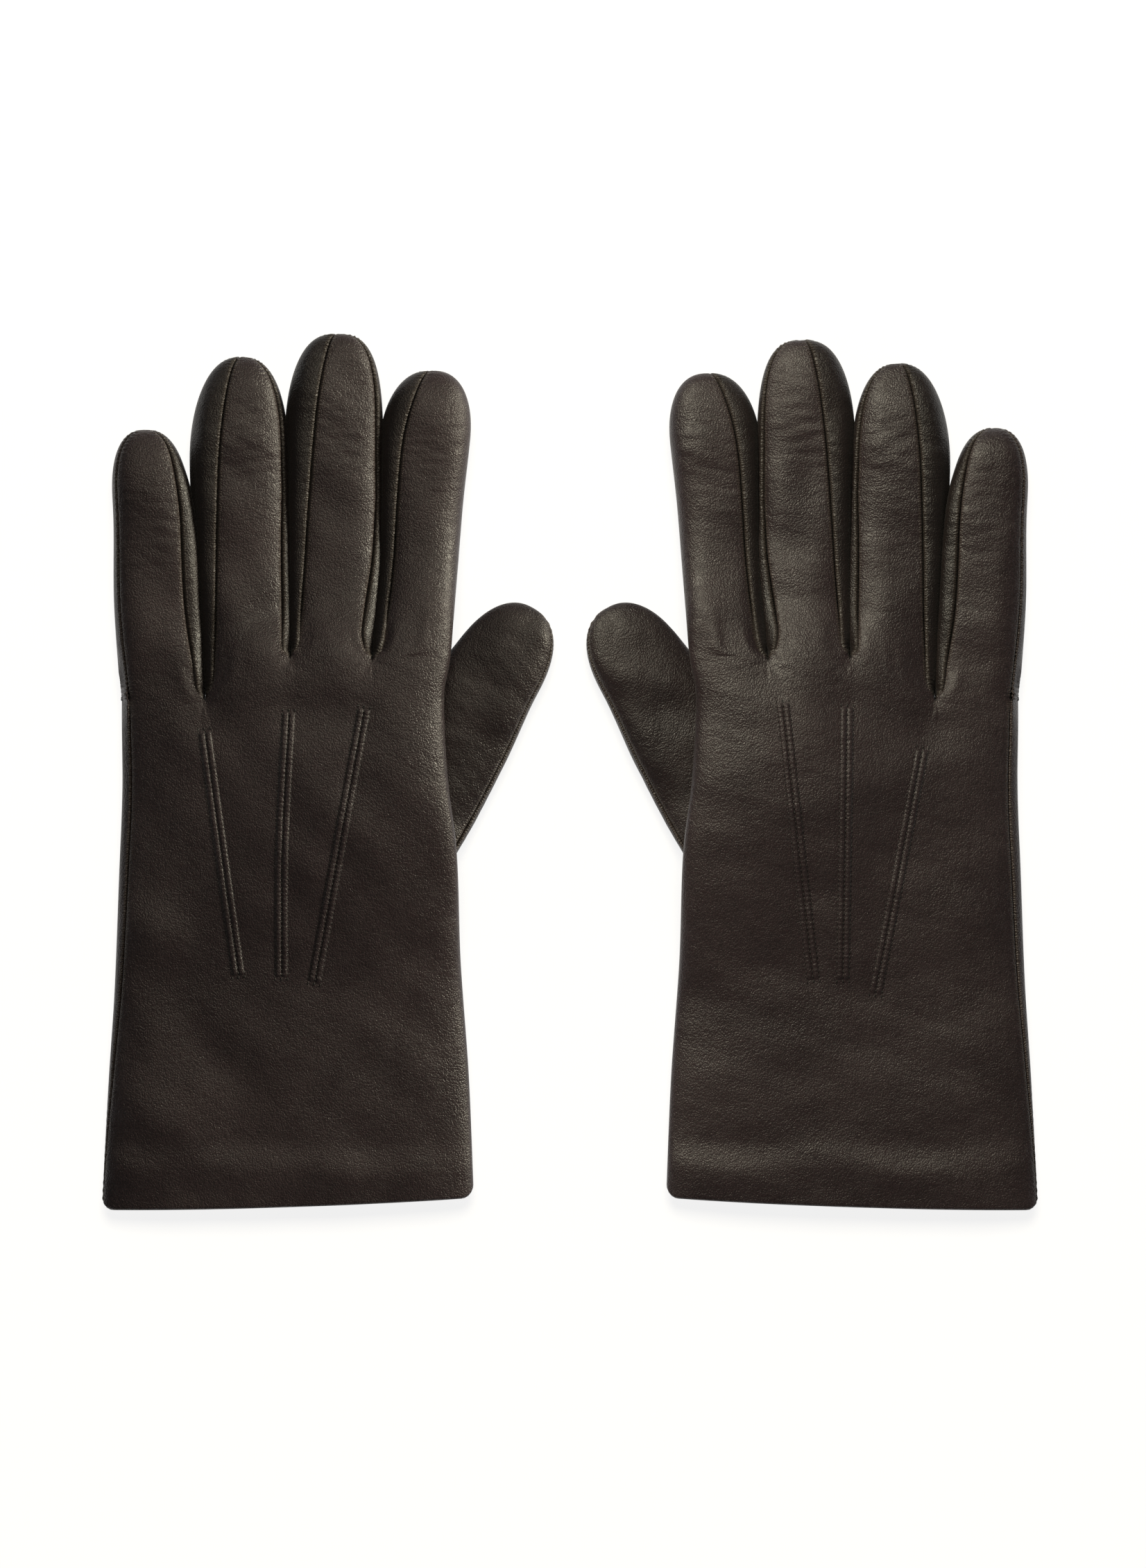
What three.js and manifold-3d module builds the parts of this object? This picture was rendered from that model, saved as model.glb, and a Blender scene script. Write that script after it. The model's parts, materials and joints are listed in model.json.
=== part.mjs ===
// A pair of lined leather dress gloves, lying palm down on a table with the fingers towards +Y.
// Millimetres, +Z up. The origin is on the table, under the middle of the pair.
// Each glove is sewn from its trank (hand back, hand palm and the back and front strip of each
// finger), the fourchettes between the fingers, a thumb, a turned-in cuff hem and a knitted lining.
// Every glove is described as a left one, with +X towards its thumb. The right one is its mirror image.
import * as THREE from "three";
import { mergeVertices } from "three/addons/utils/BufferGeometryUtils.js";
import Module from "manifold-3d";

// Layers, from the outside in.
const LEATHER = 0.8;
const LAYER_GAP = 0.3;
const LINING = 0.6;
const LINING_DEPTH = LEATHER + LAYER_GAP;
const INNER_DEPTH = LINING_DEPTH + LINING;
const HAND_SLACK = 1.6; // how much further in the hand's lining lies than the hem and the thumb's
const FINGER_SLACK = 1.2; // and a finger's lining
const SEAM_GAP = 0.7; // left open between two leather pieces that a seam joins
const NECK_GAP = 1.9; // left open between the hand and a finger, so that the finger can bend
const FINGER_GAP = 0.5; // taken off each side of a finger, so that neighbours don't touch

// The hand and cuff, from the cuff's edge up to the roots of the fingers.
const GLOVE_SPACING = 84; // from the middle of the pair to the middle of each glove
const CUFF_Y = -130.4;
const CUFF_RISE = 3.6; // how far the cuff's edge climbs towards the thumb side
const HEM_DEPTH = 22; // how far the leather is turned in at the cuff
const LITTLE_EDGE = [[-130, -55.3], [-92, -53.3], [-60, -51.3], [-25, -50], [0, -49.1], [21, -49.3]];
const THUMB_EDGE = [[-130, 55.6], [-92, 54], [-59, 51.6], [-27, 50.5], [-6, 47.9], [18, 46.8], [33, 48.4]];
const HAND_HEIGHT = [[-130, 9.6], [-100, 12], [-60, 13.6], [0, 14.6], [34, 13.8]];
const ROOT_Y = 27; // the middle of the slanting line of finger roots
const LINING_INSET = 0.005; // the hem and the lining stop short of the leather's ends by this share
const HAND_ROUNDNESS = 2.8; // exponent of the hand's superellipse section
const FLAT_BELOW = 0.9; // how much of each section's underside is pressed flat by the table

// The fingers. Stations are [y, middle x, half width]; seams are the share of the half width that
// the back strip keeps on that side, at the stations in SEAM_STATIONS. A side with no seam list is
// the outside of the hand, where the back and front strips meet.
const SEAM_STATIONS = [0, 0.1, 0.35, 0.7, 1];
const WIDEST_SEAM = 0.9; // a fourchette always keeps this little of the side
const FINGER_HEIGHT = 13.4;
const FINGER_ROUNDNESS = 2.6; // exponent of the finger's superellipse section
const FINGERS = {
  little: {
    stations: [[21, -36.9, 12.5], [50, -38.6, 12.9], [75, -39.7, 12], [90, -41.2, 11.4], [102, -42.2, 11.4]],
    cap: 22, blunt: 2.4, slope: 0,
    thumbSeam: [1, 0.82, 0.62, 0.66, 0.88],
  },
  ring: {
    stations: [[27.3, -11.5, 12.6], [50, -12.1, 13.3], [75, -13.5, 13.9], [95, -14.4, 14], [124, -13.7, 14]],
    cap: 31, blunt: 2.4, slope: 0.48,
    littleSeam: [1, 0.8, 0.6, 0.4, 0.36], thumbSeam: [1, 0.85, 0.82, 0.96, 0.97],
  },
  middle: {
    stations: [[33.2, 13.3, 12.1], [60, 14.6, 13.1], [80, 14.1, 13.8], [105, 13.9, 14], [130, 14.9, 14]],
    cap: 32, blunt: 2.7, slope: -0.04,
    littleSeam: [1, 0.82, 0.63, 0.4, 0.35], thumbSeam: [1, 0.68, 0.84, 0.98, 0.98],
  },
  index: {
    stations: [[32.6, 36.9, 11.6], [60, 39.2, 11.4], [80, 40.1, 12.1], [100, 41.3, 13.1], [119, 42.8, 13.1]],
    cap: 21.7, blunt: 2.4, slope: 0,
    littleSeam: [1, 0.76, 0.66, 0.53, 0.58],
  },
};
const TIP_Y = {
  left: { little: 103.1, ring: 125, middle: 131.9, index: 120.8 },
  right: { little: 103.6, ring: 123, middle: 130, index: 120 },
};
const TIP_CUT = 0.985; // the strips stop here on the way to the fingertip, and the tip seam closes them
const TIP_CROWDING = 1.6; // exponent that crowds the rows of a finger towards its tip
const FRONT_SHARE = 1.4; // the shares that the back and front strips keep on a side add up to this
const ROOT_FADE = 0.15; // over this much of a finger the fourchette narrows into the crotch
const SLOPE_FADE = 0.4; // over this much of a finger the slant of its root fades out
const LIFT_FADE = 0.75; // over this much of a finger the thumb's lift fades out

// The thumb, a flat pod that lies under the palm and opens up into it through the thumb hole.
const THUMB = {
  base: [28, -22], angle: THREE.MathUtils.degToRad(33), // from +Y towards +X
  back: -17, fold: 31, tip: 84, widths: [[-17, 19], [10, 20], [40, 17.6], [62, 14.4], [84, 13.4]],
  frontCap: 21, backCap: 20, blunt: 2.3, height: 9.6,
};
const THUMB_HOLE = { along: 7, halfLength: 20, halfWidth: 12.5 };
const HOLE_PLUG_HEIGHT = 20;

// How far the thumb lifts the palm and the back of the hand off the table.
const PALM_LIFT = { height: 11.2, along: 28, alongFlat: 28, alongReach: 82, acrossFlat: 13, acrossReach: 48 };
const BACK_LIFT = { height: 8.6, x: 46, xReach: 96, xFlat: 12, y: 8, yReach: 84, yFlat: 14 };

// The points: three sewn tucks down the back, each [top x, top y, bottom x, bottom y].
const POINT_WIDTH = 3.9;
const POINT_HEIGHT = 0.7;
const POINT_GAP = 0.4; // above the leather under it
const POINTS = {
  left: {
    outer: [-23.9, 12.2, -14.1, -60.6],
    middle: [0.8, 18.7, -1.8, -61.2],
    inner: [23.4, 18.7, 8.7, -62.6],
  },
  right: {
    outer: [-20.8, 7.4, -7.1, -65],
    middle: [1.7, 19.3, 3.5, -62.5],
    inner: [21.2, 21.5, 13.7, -62.1],
  },
};

const DARK_BROWN = new THREE.Color(0x2d2725);
const LEATHER_FINISH = { color: DARK_BROWN, roughness: 0.45, metalness: 0 };
const LINING_FINISH = { color: new THREE.Color(0x3a332e), roughness: 0.95, metalness: 0 };

const { clamp, smoothstep, lerp } = THREE.MathUtils;

// A smooth curve through [position, value] pairs, as a function of position.
function through(pairs) {
  const slopes = pairs.map((p, i) => {
    const before = pairs[Math.max(i - 1, 0)];
    const after = pairs[Math.min(i + 1, pairs.length - 1)];
    return (after[1] - before[1]) / (after[0] - before[0]);
  });
  return (at) => {
    const held = clamp(at, pairs[0][0], pairs.at(-1)[0]);
    const i = Math.max(0, pairs.findLastIndex((p, k) => p[0] <= held && k < pairs.length - 1));
    const [x0, y0] = pairs[i];
    const [x1, y1] = pairs[i + 1];
    const width = x1 - x0;
    const t = (held - x0) / width;
    return (1 + 2 * t) * (1 - t) ** 2 * y0 + t * (1 - t) ** 2 * width * slopes[i]
      + t ** 2 * (3 - 2 * t) * y1 + t ** 2 * (t - 1) * width * slopes[i + 1];
  };
}

// 1 within flat of the middle, falling smoothly to 0 at reach.
const bump = (distance, flat, reach) => 1 - smoothstep(Math.abs(distance), flat, reach);

// A quarter round: 1 at 0, falling to 0 at 1.
const round = (t, blunt) => (1 - Math.min(Math.abs(t), 1) ** blunt) ** (1 / blunt);

// cos or sin of an angle, squared off for a superellipse.
const squared = (value, roundness) => Math.sign(value) * Math.abs(value) ** (2 / roundness);

// Where a point lies along and across the thumb.
function thumbPlace(x, y) {
  const dx = x - THUMB.base[0];
  const dy = y - THUMB.base[1];
  const sin = Math.sin(THUMB.angle);
  const cos = Math.cos(THUMB.angle);
  return [dx * sin + dy * cos, dx * cos - dy * sin];
}

function palmLift(x, y) {
  const [along, across] = thumbPlace(x, y);
  return PALM_LIFT.height * bump(along - PALM_LIFT.along, PALM_LIFT.alongFlat, PALM_LIFT.alongReach)
    * bump(across, PALM_LIFT.acrossFlat, PALM_LIFT.acrossReach);
}

function backLift(x, y) {
  return BACK_LIFT.height * bump(x - BACK_LIFT.x, BACK_LIFT.xFlat, BACK_LIFT.xReach)
    * bump(y - BACK_LIFT.y, BACK_LIFT.yFlat, BACK_LIFT.yReach);
}

// The hand and cuff.
const littleEdge = through(LITTLE_EDGE);
const thumbEdge = through(THUMB_EDGE);
const handHeight = through(HAND_HEIGHT);

// Where the hand stops and the fingers start, for a point x across the hand.
function frontEdge(x) {
  const finger = Object.values(FINGERS).find(({ stations: [[, middle, half]] }) => x < middle + half)
    ?? FINGERS.index;
  const [y, middle] = finger.stations[0];
  return y + finger.slope * (x - middle);
}

const cuffEdge = (side) => CUFF_Y + CUFF_RISE * ((side + 1) / 2) ** 2;

// A point of the hand's skin. along runs from the cuff, 0, to the fingers, 1. angle is 0 at the
// thumb side, a right angle on the back and three at the palm. depth is how far in from the leather.
function handSkin(along, angle, depth) {
  const side = squared(Math.cos(angle), HAND_ROUNDNESS);
  const up = squared(Math.sin(angle), HAND_ROUNDNESS);
  const guess = lerp(cuffEdge(side), ROOT_Y, along);
  const middle = (littleEdge(guess) + thumbEdge(guess)) / 2;
  const half = (thumbEdge(guess) - littleEdge(guess)) / 2 - depth;
  const x = middle + half * side;
  const y = lerp(cuffEdge(side), frontEdge(x), along);
  const low = palmLift(x, y);
  const high = backLift(x, y) + handHeight(y);
  const waist = (low + high) / 2;
  const z = up > 0
    ? waist + (high - depth - waist) * up
    : Math.max(low + depth, waist + (waist - low - depth + FLAT_BELOW) * up);
  return new THREE.Vector3(x, y, z);
}

// A finger's skin, in the same terms: along runs from the root, 0, to the tip, 1.
function fingerSkin(finger, tipY) {
  const middleX = through(finger.stations.map(([y, x]) => [y, x]));
  const halfWidth = through(finger.stations.map(([y, , half]) => [y, half]));
  const rootY = finger.stations[0][0];
  return (along, angle, depth) => {
    const tip = tipY - depth;
    const station = rootY + along * (tip - rootY);
    const end = round(Math.max(station - tip + finger.cap, 0) / finger.cap, finger.blunt);
    const half = (halfWidth(station) - FINGER_GAP - depth) * end;
    const side = squared(Math.cos(angle), FINGER_ROUNDNESS);
    const up = squared(Math.sin(angle), FINGER_ROUNDNESS);
    const x = middleX(station) + half * side;
    const y = station + finger.slope * half * side * bump(along, 0, SLOPE_FADE);
    const lift = lerp(palmLift(x, y), backLift(x, y), 0.5) * bump(along, 0, LIFT_FADE);
    const height = FINGER_HEIGHT / 2 - depth + (up < 0 ? FLAT_BELOW : 0);
    const z = lift + Math.max(depth, FINGER_HEIGHT / 2 + height * up * end);
    return new THREE.Vector3(x, y, z);
  };
}

// The angle round a finger at which a seam lies, for the share of the half width that it leaves.
const seamAngle = (share) => Math.acos(Math.min(share, WIDEST_SEAM) ** (FINGER_ROUNDNESS / 2));

// Rows crowd towards the fingertip, where the shape turns fastest.
const crowded = (u) => 1 - (1 - u) ** TIP_CROWDING;

// A solid sheet between two depths of a skin. place(u, v) gives [along, angle] for u and v from 0 to 1.
function sheet(skin, place, rows, columns, from = 0, to = LEATHER) {
  const geometry = new THREE.BoxGeometry(1, 1, 1, rows, columns, 1);
  return moved(geometry, (p) => {
    const [along, angle] = place(p.x + 0.5, p.y + 0.5);
    return skin(along, angle, p.z > 0 ? from : to);
  });
}

// A tube of lining or hem between two depths of a skin, open at both ends or closed at the far one.
// In the lathe's profile the radius tells the outer wall from the inner one, and 0 is the tip.
function tube(skin, { start, end, rows, columns, from, to, closed = false }) {
  const steps = Array.from({ length: closed ? rows : rows + 1 }, (_, i) => i / rows);
  const outer = steps.map((y) => new THREE.Vector2(2, y));
  const inner = steps.map((y) => new THREE.Vector2(1, y)).reverse();
  const profile = closed
    ? [new THREE.Vector2(0, 1), ...inner, ...outer, new THREE.Vector2(0, 1.1)]
    : [...inner, ...outer, inner[0].clone()];
  return moved(new THREE.LatheGeometry(profile, columns), (p) => {
    const radius = Math.hypot(p.x, p.z);
    if (radius < 0.5) return skin(1, 0, p.y > 1 ? from : to);
    const along = lerp(start, end, closed ? crowded(p.y) : p.y);
    return skin(along, Math.atan2(p.z, p.x), radius > 1.5 ? from : to);
  });
}

// The same geometry with each vertex where the function puts it.
function moved(geometry, place) {
  geometry.deleteAttribute("normal");
  geometry.deleteAttribute("uv");
  const merged = mergeVertices(geometry, 1e-4);
  const position = merged.getAttribute("position");
  const point = new THREE.Vector3();
  for (let i = 0; i < position.count; i += 1) {
    const { x, y, z } = place(point.fromBufferAttribute(position, i));
    position.setXYZ(i, x, y, z);
  }
  return facingOut(merged);
}

// The geometry with its faces turned round if they point inwards.
function facingOut(geometry) {
  const position = geometry.getAttribute("position");
  const index = geometry.index.array;
  const corner = (k) => new THREE.Vector3().fromBufferAttribute(position, index[k]);
  let volume = 0;
  for (let i = 0; i < index.length; i += 3) volume += corner(i).dot(corner(i + 1).cross(corner(i + 2)));
  if (volume < 0) index.reverse();
  return geometry;
}

const wasm = await Module();
wasm.setup();

function toSolid(geometry) {
  const clean = mergeVertices(geometry, 1e-4);
  return new wasm.Manifold(new wasm.Mesh({
    numProp: 3,
    vertProperties: clean.getAttribute("position").array,
    triVerts: new Uint32Array(clean.index.array),
  }));
}

function toGeometry(solid) {
  const mesh = solid.getMesh();
  return new THREE.BufferGeometry()
    .setAttribute("position", new THREE.BufferAttribute(mesh.vertProperties, 3))
    .setIndex(new THREE.BufferAttribute(mesh.triVerts, 1));
}

// The thumb as a closed pod, shrunk by depth, before its hole is cut.
const thumbWidth = through(THUMB.widths);
function thumbPod(depth) {
  const sin = Math.sin(THUMB.angle);
  const cos = Math.cos(THUMB.angle);
  const start = THUMB.back + depth;
  const end = THUMB.tip - depth;
  return moved(new THREE.SphereGeometry(1, 12, 8), (p) => {
    const along = lerp(start, end, (p.y + 1) / 2);
    const front = round(Math.max(along - end + THUMB.frontCap, 0) / THUMB.frontCap, THUMB.blunt);
    const rear = round(Math.max(start + THUMB.backCap - along, 0) / THUMB.backCap, THUMB.blunt);
    const angle = Math.atan2(p.z, p.x);
    const across = (thumbWidth(along) - depth) * squared(Math.cos(angle), FINGER_ROUNDNESS) * front * rear;
    const up = squared(Math.sin(angle), FINGER_ROUNDNESS) * front * rear;
    const height = THUMB.height / 2 - depth + (up < 0 ? FLAT_BELOW : 0);
    const pole = Math.abs(p.y) > 1 - 1e-6;
    return new THREE.Vector3(
      THUMB.base[0] + along * sin + (pole ? 0 : across * cos),
      THUMB.base[1] + along * cos - (pole ? 0 : across * sin),
      Math.max(depth, THUMB.height / 2 + (pole ? 0 : height * up)),
    );
  });
}

// An upright oval plug the shape of the thumb hole, shrunk by inset, that starts at the given height.
function thumbHolePlug(bottom, inset) {
  const plug = new THREE.CylinderGeometry(1, 1, HOLE_PLUG_HEIGHT, 18);
  plug.deleteAttribute("normal");
  plug.deleteAttribute("uv");
  plug.rotateX(Math.PI / 2);
  plug.scale(THUMB_HOLE.halfWidth - inset, THUMB_HOLE.halfLength - inset, 1);
  plug.rotateZ(-THUMB.angle);
  plug.translate(
    THUMB.base[0] + THUMB_HOLE.along * Math.sin(THUMB.angle),
    THUMB.base[1] + THUMB_HOLE.along * Math.cos(THUMB.angle),
    bottom + HOLE_PLUG_HEIGHT / 2,
  );
  return toSolid(plug);
}

// A large block that covers everything along the thumb from the given place, in the given direction.
function thumbBlock(along, direction) {
  const size = THUMB.tip - THUMB.back + HOLE_PLUG_HEIGHT;
  const block = new THREE.BoxGeometry(size, size, size);
  block.deleteAttribute("normal");
  block.deleteAttribute("uv");
  block.translate(0, along + (direction * size) / 2, 0);
  block.rotateZ(-THUMB.angle);
  block.translate(THUMB.base[0], THUMB.base[1], 0);
  return toSolid(block);
}

// A layer of the thumb between two depths, as two pieces: its base, which stays with the palm and
// opens up into it through the hole, and the part beyond the fold, which swings.
function thumbLayer(from, to, inset) {
  const layer = toSolid(thumbPod(from)).subtract(toSolid(thumbPod(to)));
  const base = layer.subtract(thumbBlock(THUMB.fold, 1)).subtract(thumbHolePlug(THUMB.height / 2, inset));
  const end = layer.subtract(thumbBlock(THUMB.fold + NECK_GAP, -1));
  return { base: toGeometry(base), end: toGeometry(end) };
}

function node(name, geometry, finish) {
  const mesh = new THREE.Mesh(geometry, new THREE.MeshStandardMaterial(finish));
  mesh.name = name;
  return mesh;
}

// One finger: its back and front strips, its fourchettes and its lining.
function makeFinger(glove, name) {
  const finger = FINGERS[name];
  const skin = fingerSkin(finger, TIP_Y[glove][name]);
  const length = TIP_Y[glove][name] - finger.stations[0][0];
  const seamOf = (shares) => shares && through(shares.map((share, i) => [SEAM_STATIONS[i], share]));
  const thumbSeam = seamOf(finger.thumbSeam);
  const littleSeam = seamOf(finger.littleSeam);
  const gap = SEAM_GAP / FINGER_HEIGHT; // as an angle on each side of the seam
  const upper = (seam, along) => (seam ? seamAngle(seam(along)) : 0);
  const lower = (seam, along) => (
    seam ? seamAngle(lerp(1, FRONT_SHARE - seam(along), smoothstep(along, 0, ROOT_FADE))) : 0
  );
  const start = NECK_GAP / length;
  const station = (u) => lerp(start, TIP_CUT, crowded(u));
  const strip = (first, last, columns) => sheet(skin, (u, v) => {
    const along = station(u);
    return [along, lerp(first(along) + gap, last(along) - gap, v)];
  }, 6, columns);
  const named = (piece, geometry) => node(`${glove}_${name}_${piece}`, geometry, LEATHER_FINISH);
  const pieces = [
    named("back", strip((a) => upper(thumbSeam, a), (a) => Math.PI - upper(littleSeam, a), 5)),
    named("front", strip((a) => Math.PI + lower(littleSeam, a), (a) => 2 * Math.PI - lower(thumbSeam, a), 4)),
  ];
  if (thumbSeam) {
    pieces.push(named("fourchette_thumb_side",
      strip((a) => -lower(thumbSeam, a), (a) => upper(thumbSeam, a), 2)));
  }
  if (littleSeam) {
    pieces.push(named("fourchette_little_side",
      strip((a) => Math.PI - upper(littleSeam, a), (a) => Math.PI + lower(littleSeam, a), 2)));
  }
  const depths = { from: LINING_DEPTH + FINGER_SLACK, to: INNER_DEPTH + FINGER_SLACK };
  const lining = tube(skin, { start, end: TIP_CUT, rows: 5, columns: 10, ...depths, closed: true });
  pieces.push(node(`${glove}_${name}_lining`, lining, LINING_FINISH));
  return pieces;
}

// The three sewn tucks on the back, each lying just above the leather.
function makePoints(glove) {
  return Object.entries(POINTS[glove]).map(([name, [topX, topY, bottomX, bottomY]]) => {
    const geometry = moved(new THREE.BoxGeometry(1, 1, 1, 1, 7, 1), (p) => {
      const t = p.y + 0.5;
      const x = lerp(bottomX, topX, t) + POINT_WIDTH * p.x;
      const y = lerp(bottomY, topY, t);
      const side = (x - (littleEdge(y) + thumbEdge(y)) / 2) / ((thumbEdge(y) - littleEdge(y)) / 2);
      const waist = (palmLift(x, y) + backLift(x, y) + handHeight(y)) / 2;
      const high = backLift(x, y) + handHeight(y);
      const z = waist + (high - waist) * round(side, HAND_ROUNDNESS) + POINT_GAP;
      return new THREE.Vector3(x, y, p.z > 0 ? z + POINT_HEIGHT : z);
    });
    return node(`${glove}_point_${name}`, geometry, LEATHER_FINISH);
  });
}

// The hand: back and palm leather, the hem turned in at the cuff, and the lining.
function makeHand(glove) {
  const gap = SEAM_GAP / HAND_HEIGHT[0][1]; // as an angle on each side of the seam
  const back = sheet(handSkin, (u, v) => [u, lerp(gap, Math.PI - gap, v)], 10, 10);
  const palm = sheet(handSkin, (u, v) => [u, lerp(Math.PI + gap, 2 * Math.PI - gap, v)], 10, 10);
  const hemEnd = HEM_DEPTH / (ROOT_Y - CUFF_Y);
  const hemDepths = { from: LINING_DEPTH, to: INNER_DEPTH };
  const hem = tube(handSkin, { start: LINING_INSET, end: hemEnd, rows: 1, columns: 20, ...hemDepths });
  const depths = { from: LINING_DEPTH + HAND_SLACK, to: INNER_DEPTH + HAND_SLACK };
  const ends = { start: hemEnd + LINING_INSET, end: 1 - LINING_INSET };
  const lining = tube(handSkin, { ...ends, rows: 8, columns: 20, ...depths });
  const holed = (geometry, inset) => toGeometry(toSolid(geometry)
    .subtract(thumbHolePlug(PALM_LIFT.height + depths.to + 1 - HOLE_PLUG_HEIGHT, inset)));
  return [
    node(`${glove}_hand_back`, back, LEATHER_FINISH),
    node(`${glove}_hand_palm`, holed(palm, 0), LEATHER_FINISH),
    node(`${glove}_cuff_hem`, hem, LEATHER_FINISH),
    node(`${glove}_hand_lining`, holed(lining, 1), LINING_FINISH),
    ...makePoints(glove),
  ];
}

function makeThumb(glove) {
  const leather = thumbLayer(0, LEATHER, 0);
  const lining = thumbLayer(LINING_DEPTH, INNER_DEPTH, 1);
  return [
    node(`${glove}_thumb_base`, leather.base, LEATHER_FINISH),
    node(`${glove}_thumb_base_lining`, lining.base, LINING_FINISH),
    node(`${glove}_thumb`, leather.end, LEATHER_FINISH),
    node(`${glove}_thumb_lining`, lining.end, LINING_FINISH),
  ];
}

function makeGlove(glove) {
  const group = new THREE.Group();
  group.add(...makeHand(glove), ...makeThumb(glove));
  for (const name of Object.keys(FINGERS)) group.add(...makeFinger(glove, name));
  group.position.x = glove === "left" ? -GLOVE_SPACING : GLOVE_SPACING;
  group.scale.x = glove === "left" ? 1 : -1;
  return group;
}

const pair = new THREE.Group();
pair.add(makeGlove("left"), makeGlove("right"));

export default pair;
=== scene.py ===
"""A pair of lined leather dress gloves, lying palm down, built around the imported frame.

Sizes are in millimetres and turn into metres where a mesh is written. Each glove is described as a
left one, in its own plan with +x towards its thumb; a Seat carries a point of that plan into the frame.
"""

import json
import logging
import math
from dataclasses import dataclass, field
from enum import Enum
from typing import Optional, Sequence

import bpy
import numpy as np
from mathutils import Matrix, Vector

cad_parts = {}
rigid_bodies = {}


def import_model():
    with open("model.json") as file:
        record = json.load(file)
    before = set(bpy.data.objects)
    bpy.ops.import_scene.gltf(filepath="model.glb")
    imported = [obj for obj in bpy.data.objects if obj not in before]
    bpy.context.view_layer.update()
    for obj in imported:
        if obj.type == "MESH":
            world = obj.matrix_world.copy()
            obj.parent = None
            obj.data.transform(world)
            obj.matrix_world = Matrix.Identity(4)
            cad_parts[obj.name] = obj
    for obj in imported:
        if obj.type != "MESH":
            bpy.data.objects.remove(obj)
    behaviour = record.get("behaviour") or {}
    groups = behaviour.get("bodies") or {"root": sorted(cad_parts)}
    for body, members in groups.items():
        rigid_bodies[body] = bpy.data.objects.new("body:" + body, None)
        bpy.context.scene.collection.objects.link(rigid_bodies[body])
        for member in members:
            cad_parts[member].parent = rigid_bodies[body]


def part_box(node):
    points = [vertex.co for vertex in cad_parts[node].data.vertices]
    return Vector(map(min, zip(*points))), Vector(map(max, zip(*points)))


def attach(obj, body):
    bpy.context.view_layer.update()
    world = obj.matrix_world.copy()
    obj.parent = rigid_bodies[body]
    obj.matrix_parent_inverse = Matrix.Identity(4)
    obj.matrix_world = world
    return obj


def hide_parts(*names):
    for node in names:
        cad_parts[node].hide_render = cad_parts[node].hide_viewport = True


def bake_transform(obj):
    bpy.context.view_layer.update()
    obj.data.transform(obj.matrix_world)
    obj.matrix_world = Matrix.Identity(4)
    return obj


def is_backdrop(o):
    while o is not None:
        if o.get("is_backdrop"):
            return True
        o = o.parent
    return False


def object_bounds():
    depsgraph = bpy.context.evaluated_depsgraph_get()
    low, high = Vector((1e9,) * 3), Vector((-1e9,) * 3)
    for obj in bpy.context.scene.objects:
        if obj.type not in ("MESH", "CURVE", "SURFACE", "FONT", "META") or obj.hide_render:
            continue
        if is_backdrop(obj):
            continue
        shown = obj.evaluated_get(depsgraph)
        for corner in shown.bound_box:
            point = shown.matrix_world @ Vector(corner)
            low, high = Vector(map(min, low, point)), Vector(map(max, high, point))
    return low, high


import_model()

MM = 0.001
log = logging.getLogger("gloves")


# ---------------------------------------------------------------- curves and small helpers


class Curve:
    """A smooth curve through (position, value) pairs."""

    def __init__(self, pairs: Sequence[Sequence[float]]) -> None:
        """Keeps the pairs and the slope at each.

        Args:
            pairs: position and value, in rising order of position.
        """
        self.at, self.value = np.array(pairs, float).T
        before = np.maximum(np.arange(len(self.at)) - 1, 0)
        after = np.minimum(np.arange(len(self.at)) + 1, len(self.at) - 1)
        self.slope = (self.value[after] - self.value[before]) / (self.at[after] - self.at[before])

    def __call__(self, position: np.ndarray) -> np.ndarray:
        """The value at each position, held constant past both ends."""
        held = np.clip(position, self.at[0], self.at[-1])
        i = np.clip(np.searchsorted(self.at, held, side="right") - 1, 0, len(self.at) - 2)
        width = self.at[i + 1] - self.at[i]
        t = (held - self.at[i]) / width
        return (
            (1 + 2 * t) * (1 - t) ** 2 * self.value[i]
            + t * (1 - t) ** 2 * width * self.slope[i]
            + t**2 * (3 - 2 * t) * self.value[i + 1]
            + t**2 * (t - 1) * width * self.slope[i + 1]
        )


def smooth(value: np.ndarray, start: float, end: float) -> np.ndarray:
    """0 before start, 1 after end, and a smooth rise between them."""
    t = np.clip((value - start) / (end - start), 0, 1)
    return t * t * (3 - 2 * t)


def bump(distance: np.ndarray, flat: float, reach: float) -> np.ndarray:
    """1 within flat of the middle, falling smoothly to 0 at reach."""
    return 1 - smooth(np.abs(distance), flat, reach)


def quarter_round(t: np.ndarray, blunt: float) -> np.ndarray:
    """1 at 0, falling to 0 at 1 as a quarter of a superellipse does."""
    return (1 - np.minimum(np.abs(t), 1) ** blunt) ** (1 / blunt)


def squared(value: np.ndarray, roundness: float) -> np.ndarray:
    """cos or sin of an angle, squared off for a superellipse."""
    return np.sign(value) * np.abs(value) ** (2 / roundness)


def mix(a: np.ndarray, b: np.ndarray, t: np.ndarray) -> np.ndarray:
    """a where t is 0 and b where it is 1."""
    return a + (b - a) * t


def unit(vectors: np.ndarray) -> np.ndarray:
    """The vectors at length 1."""
    return vectors / np.maximum(np.linalg.norm(vectors, axis=-1, keepdims=True), 1e-12)


def bell(distance: np.ndarray, reach: float) -> np.ndarray:
    """1 at the middle, falling off as a bell does; 1 / e at reach."""
    return np.exp(-((distance / reach) ** 2))


def arc_length(points: np.ndarray) -> np.ndarray:
    """How far each point lies along its line; the points are (..., points, axes)."""
    steps = np.linalg.norm(np.diff(points, axis=-2), axis=-1)
    return np.concatenate([np.zeros((*steps.shape[:-1], 1)), np.cumsum(steps, axis=-1)], axis=-1)


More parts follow.
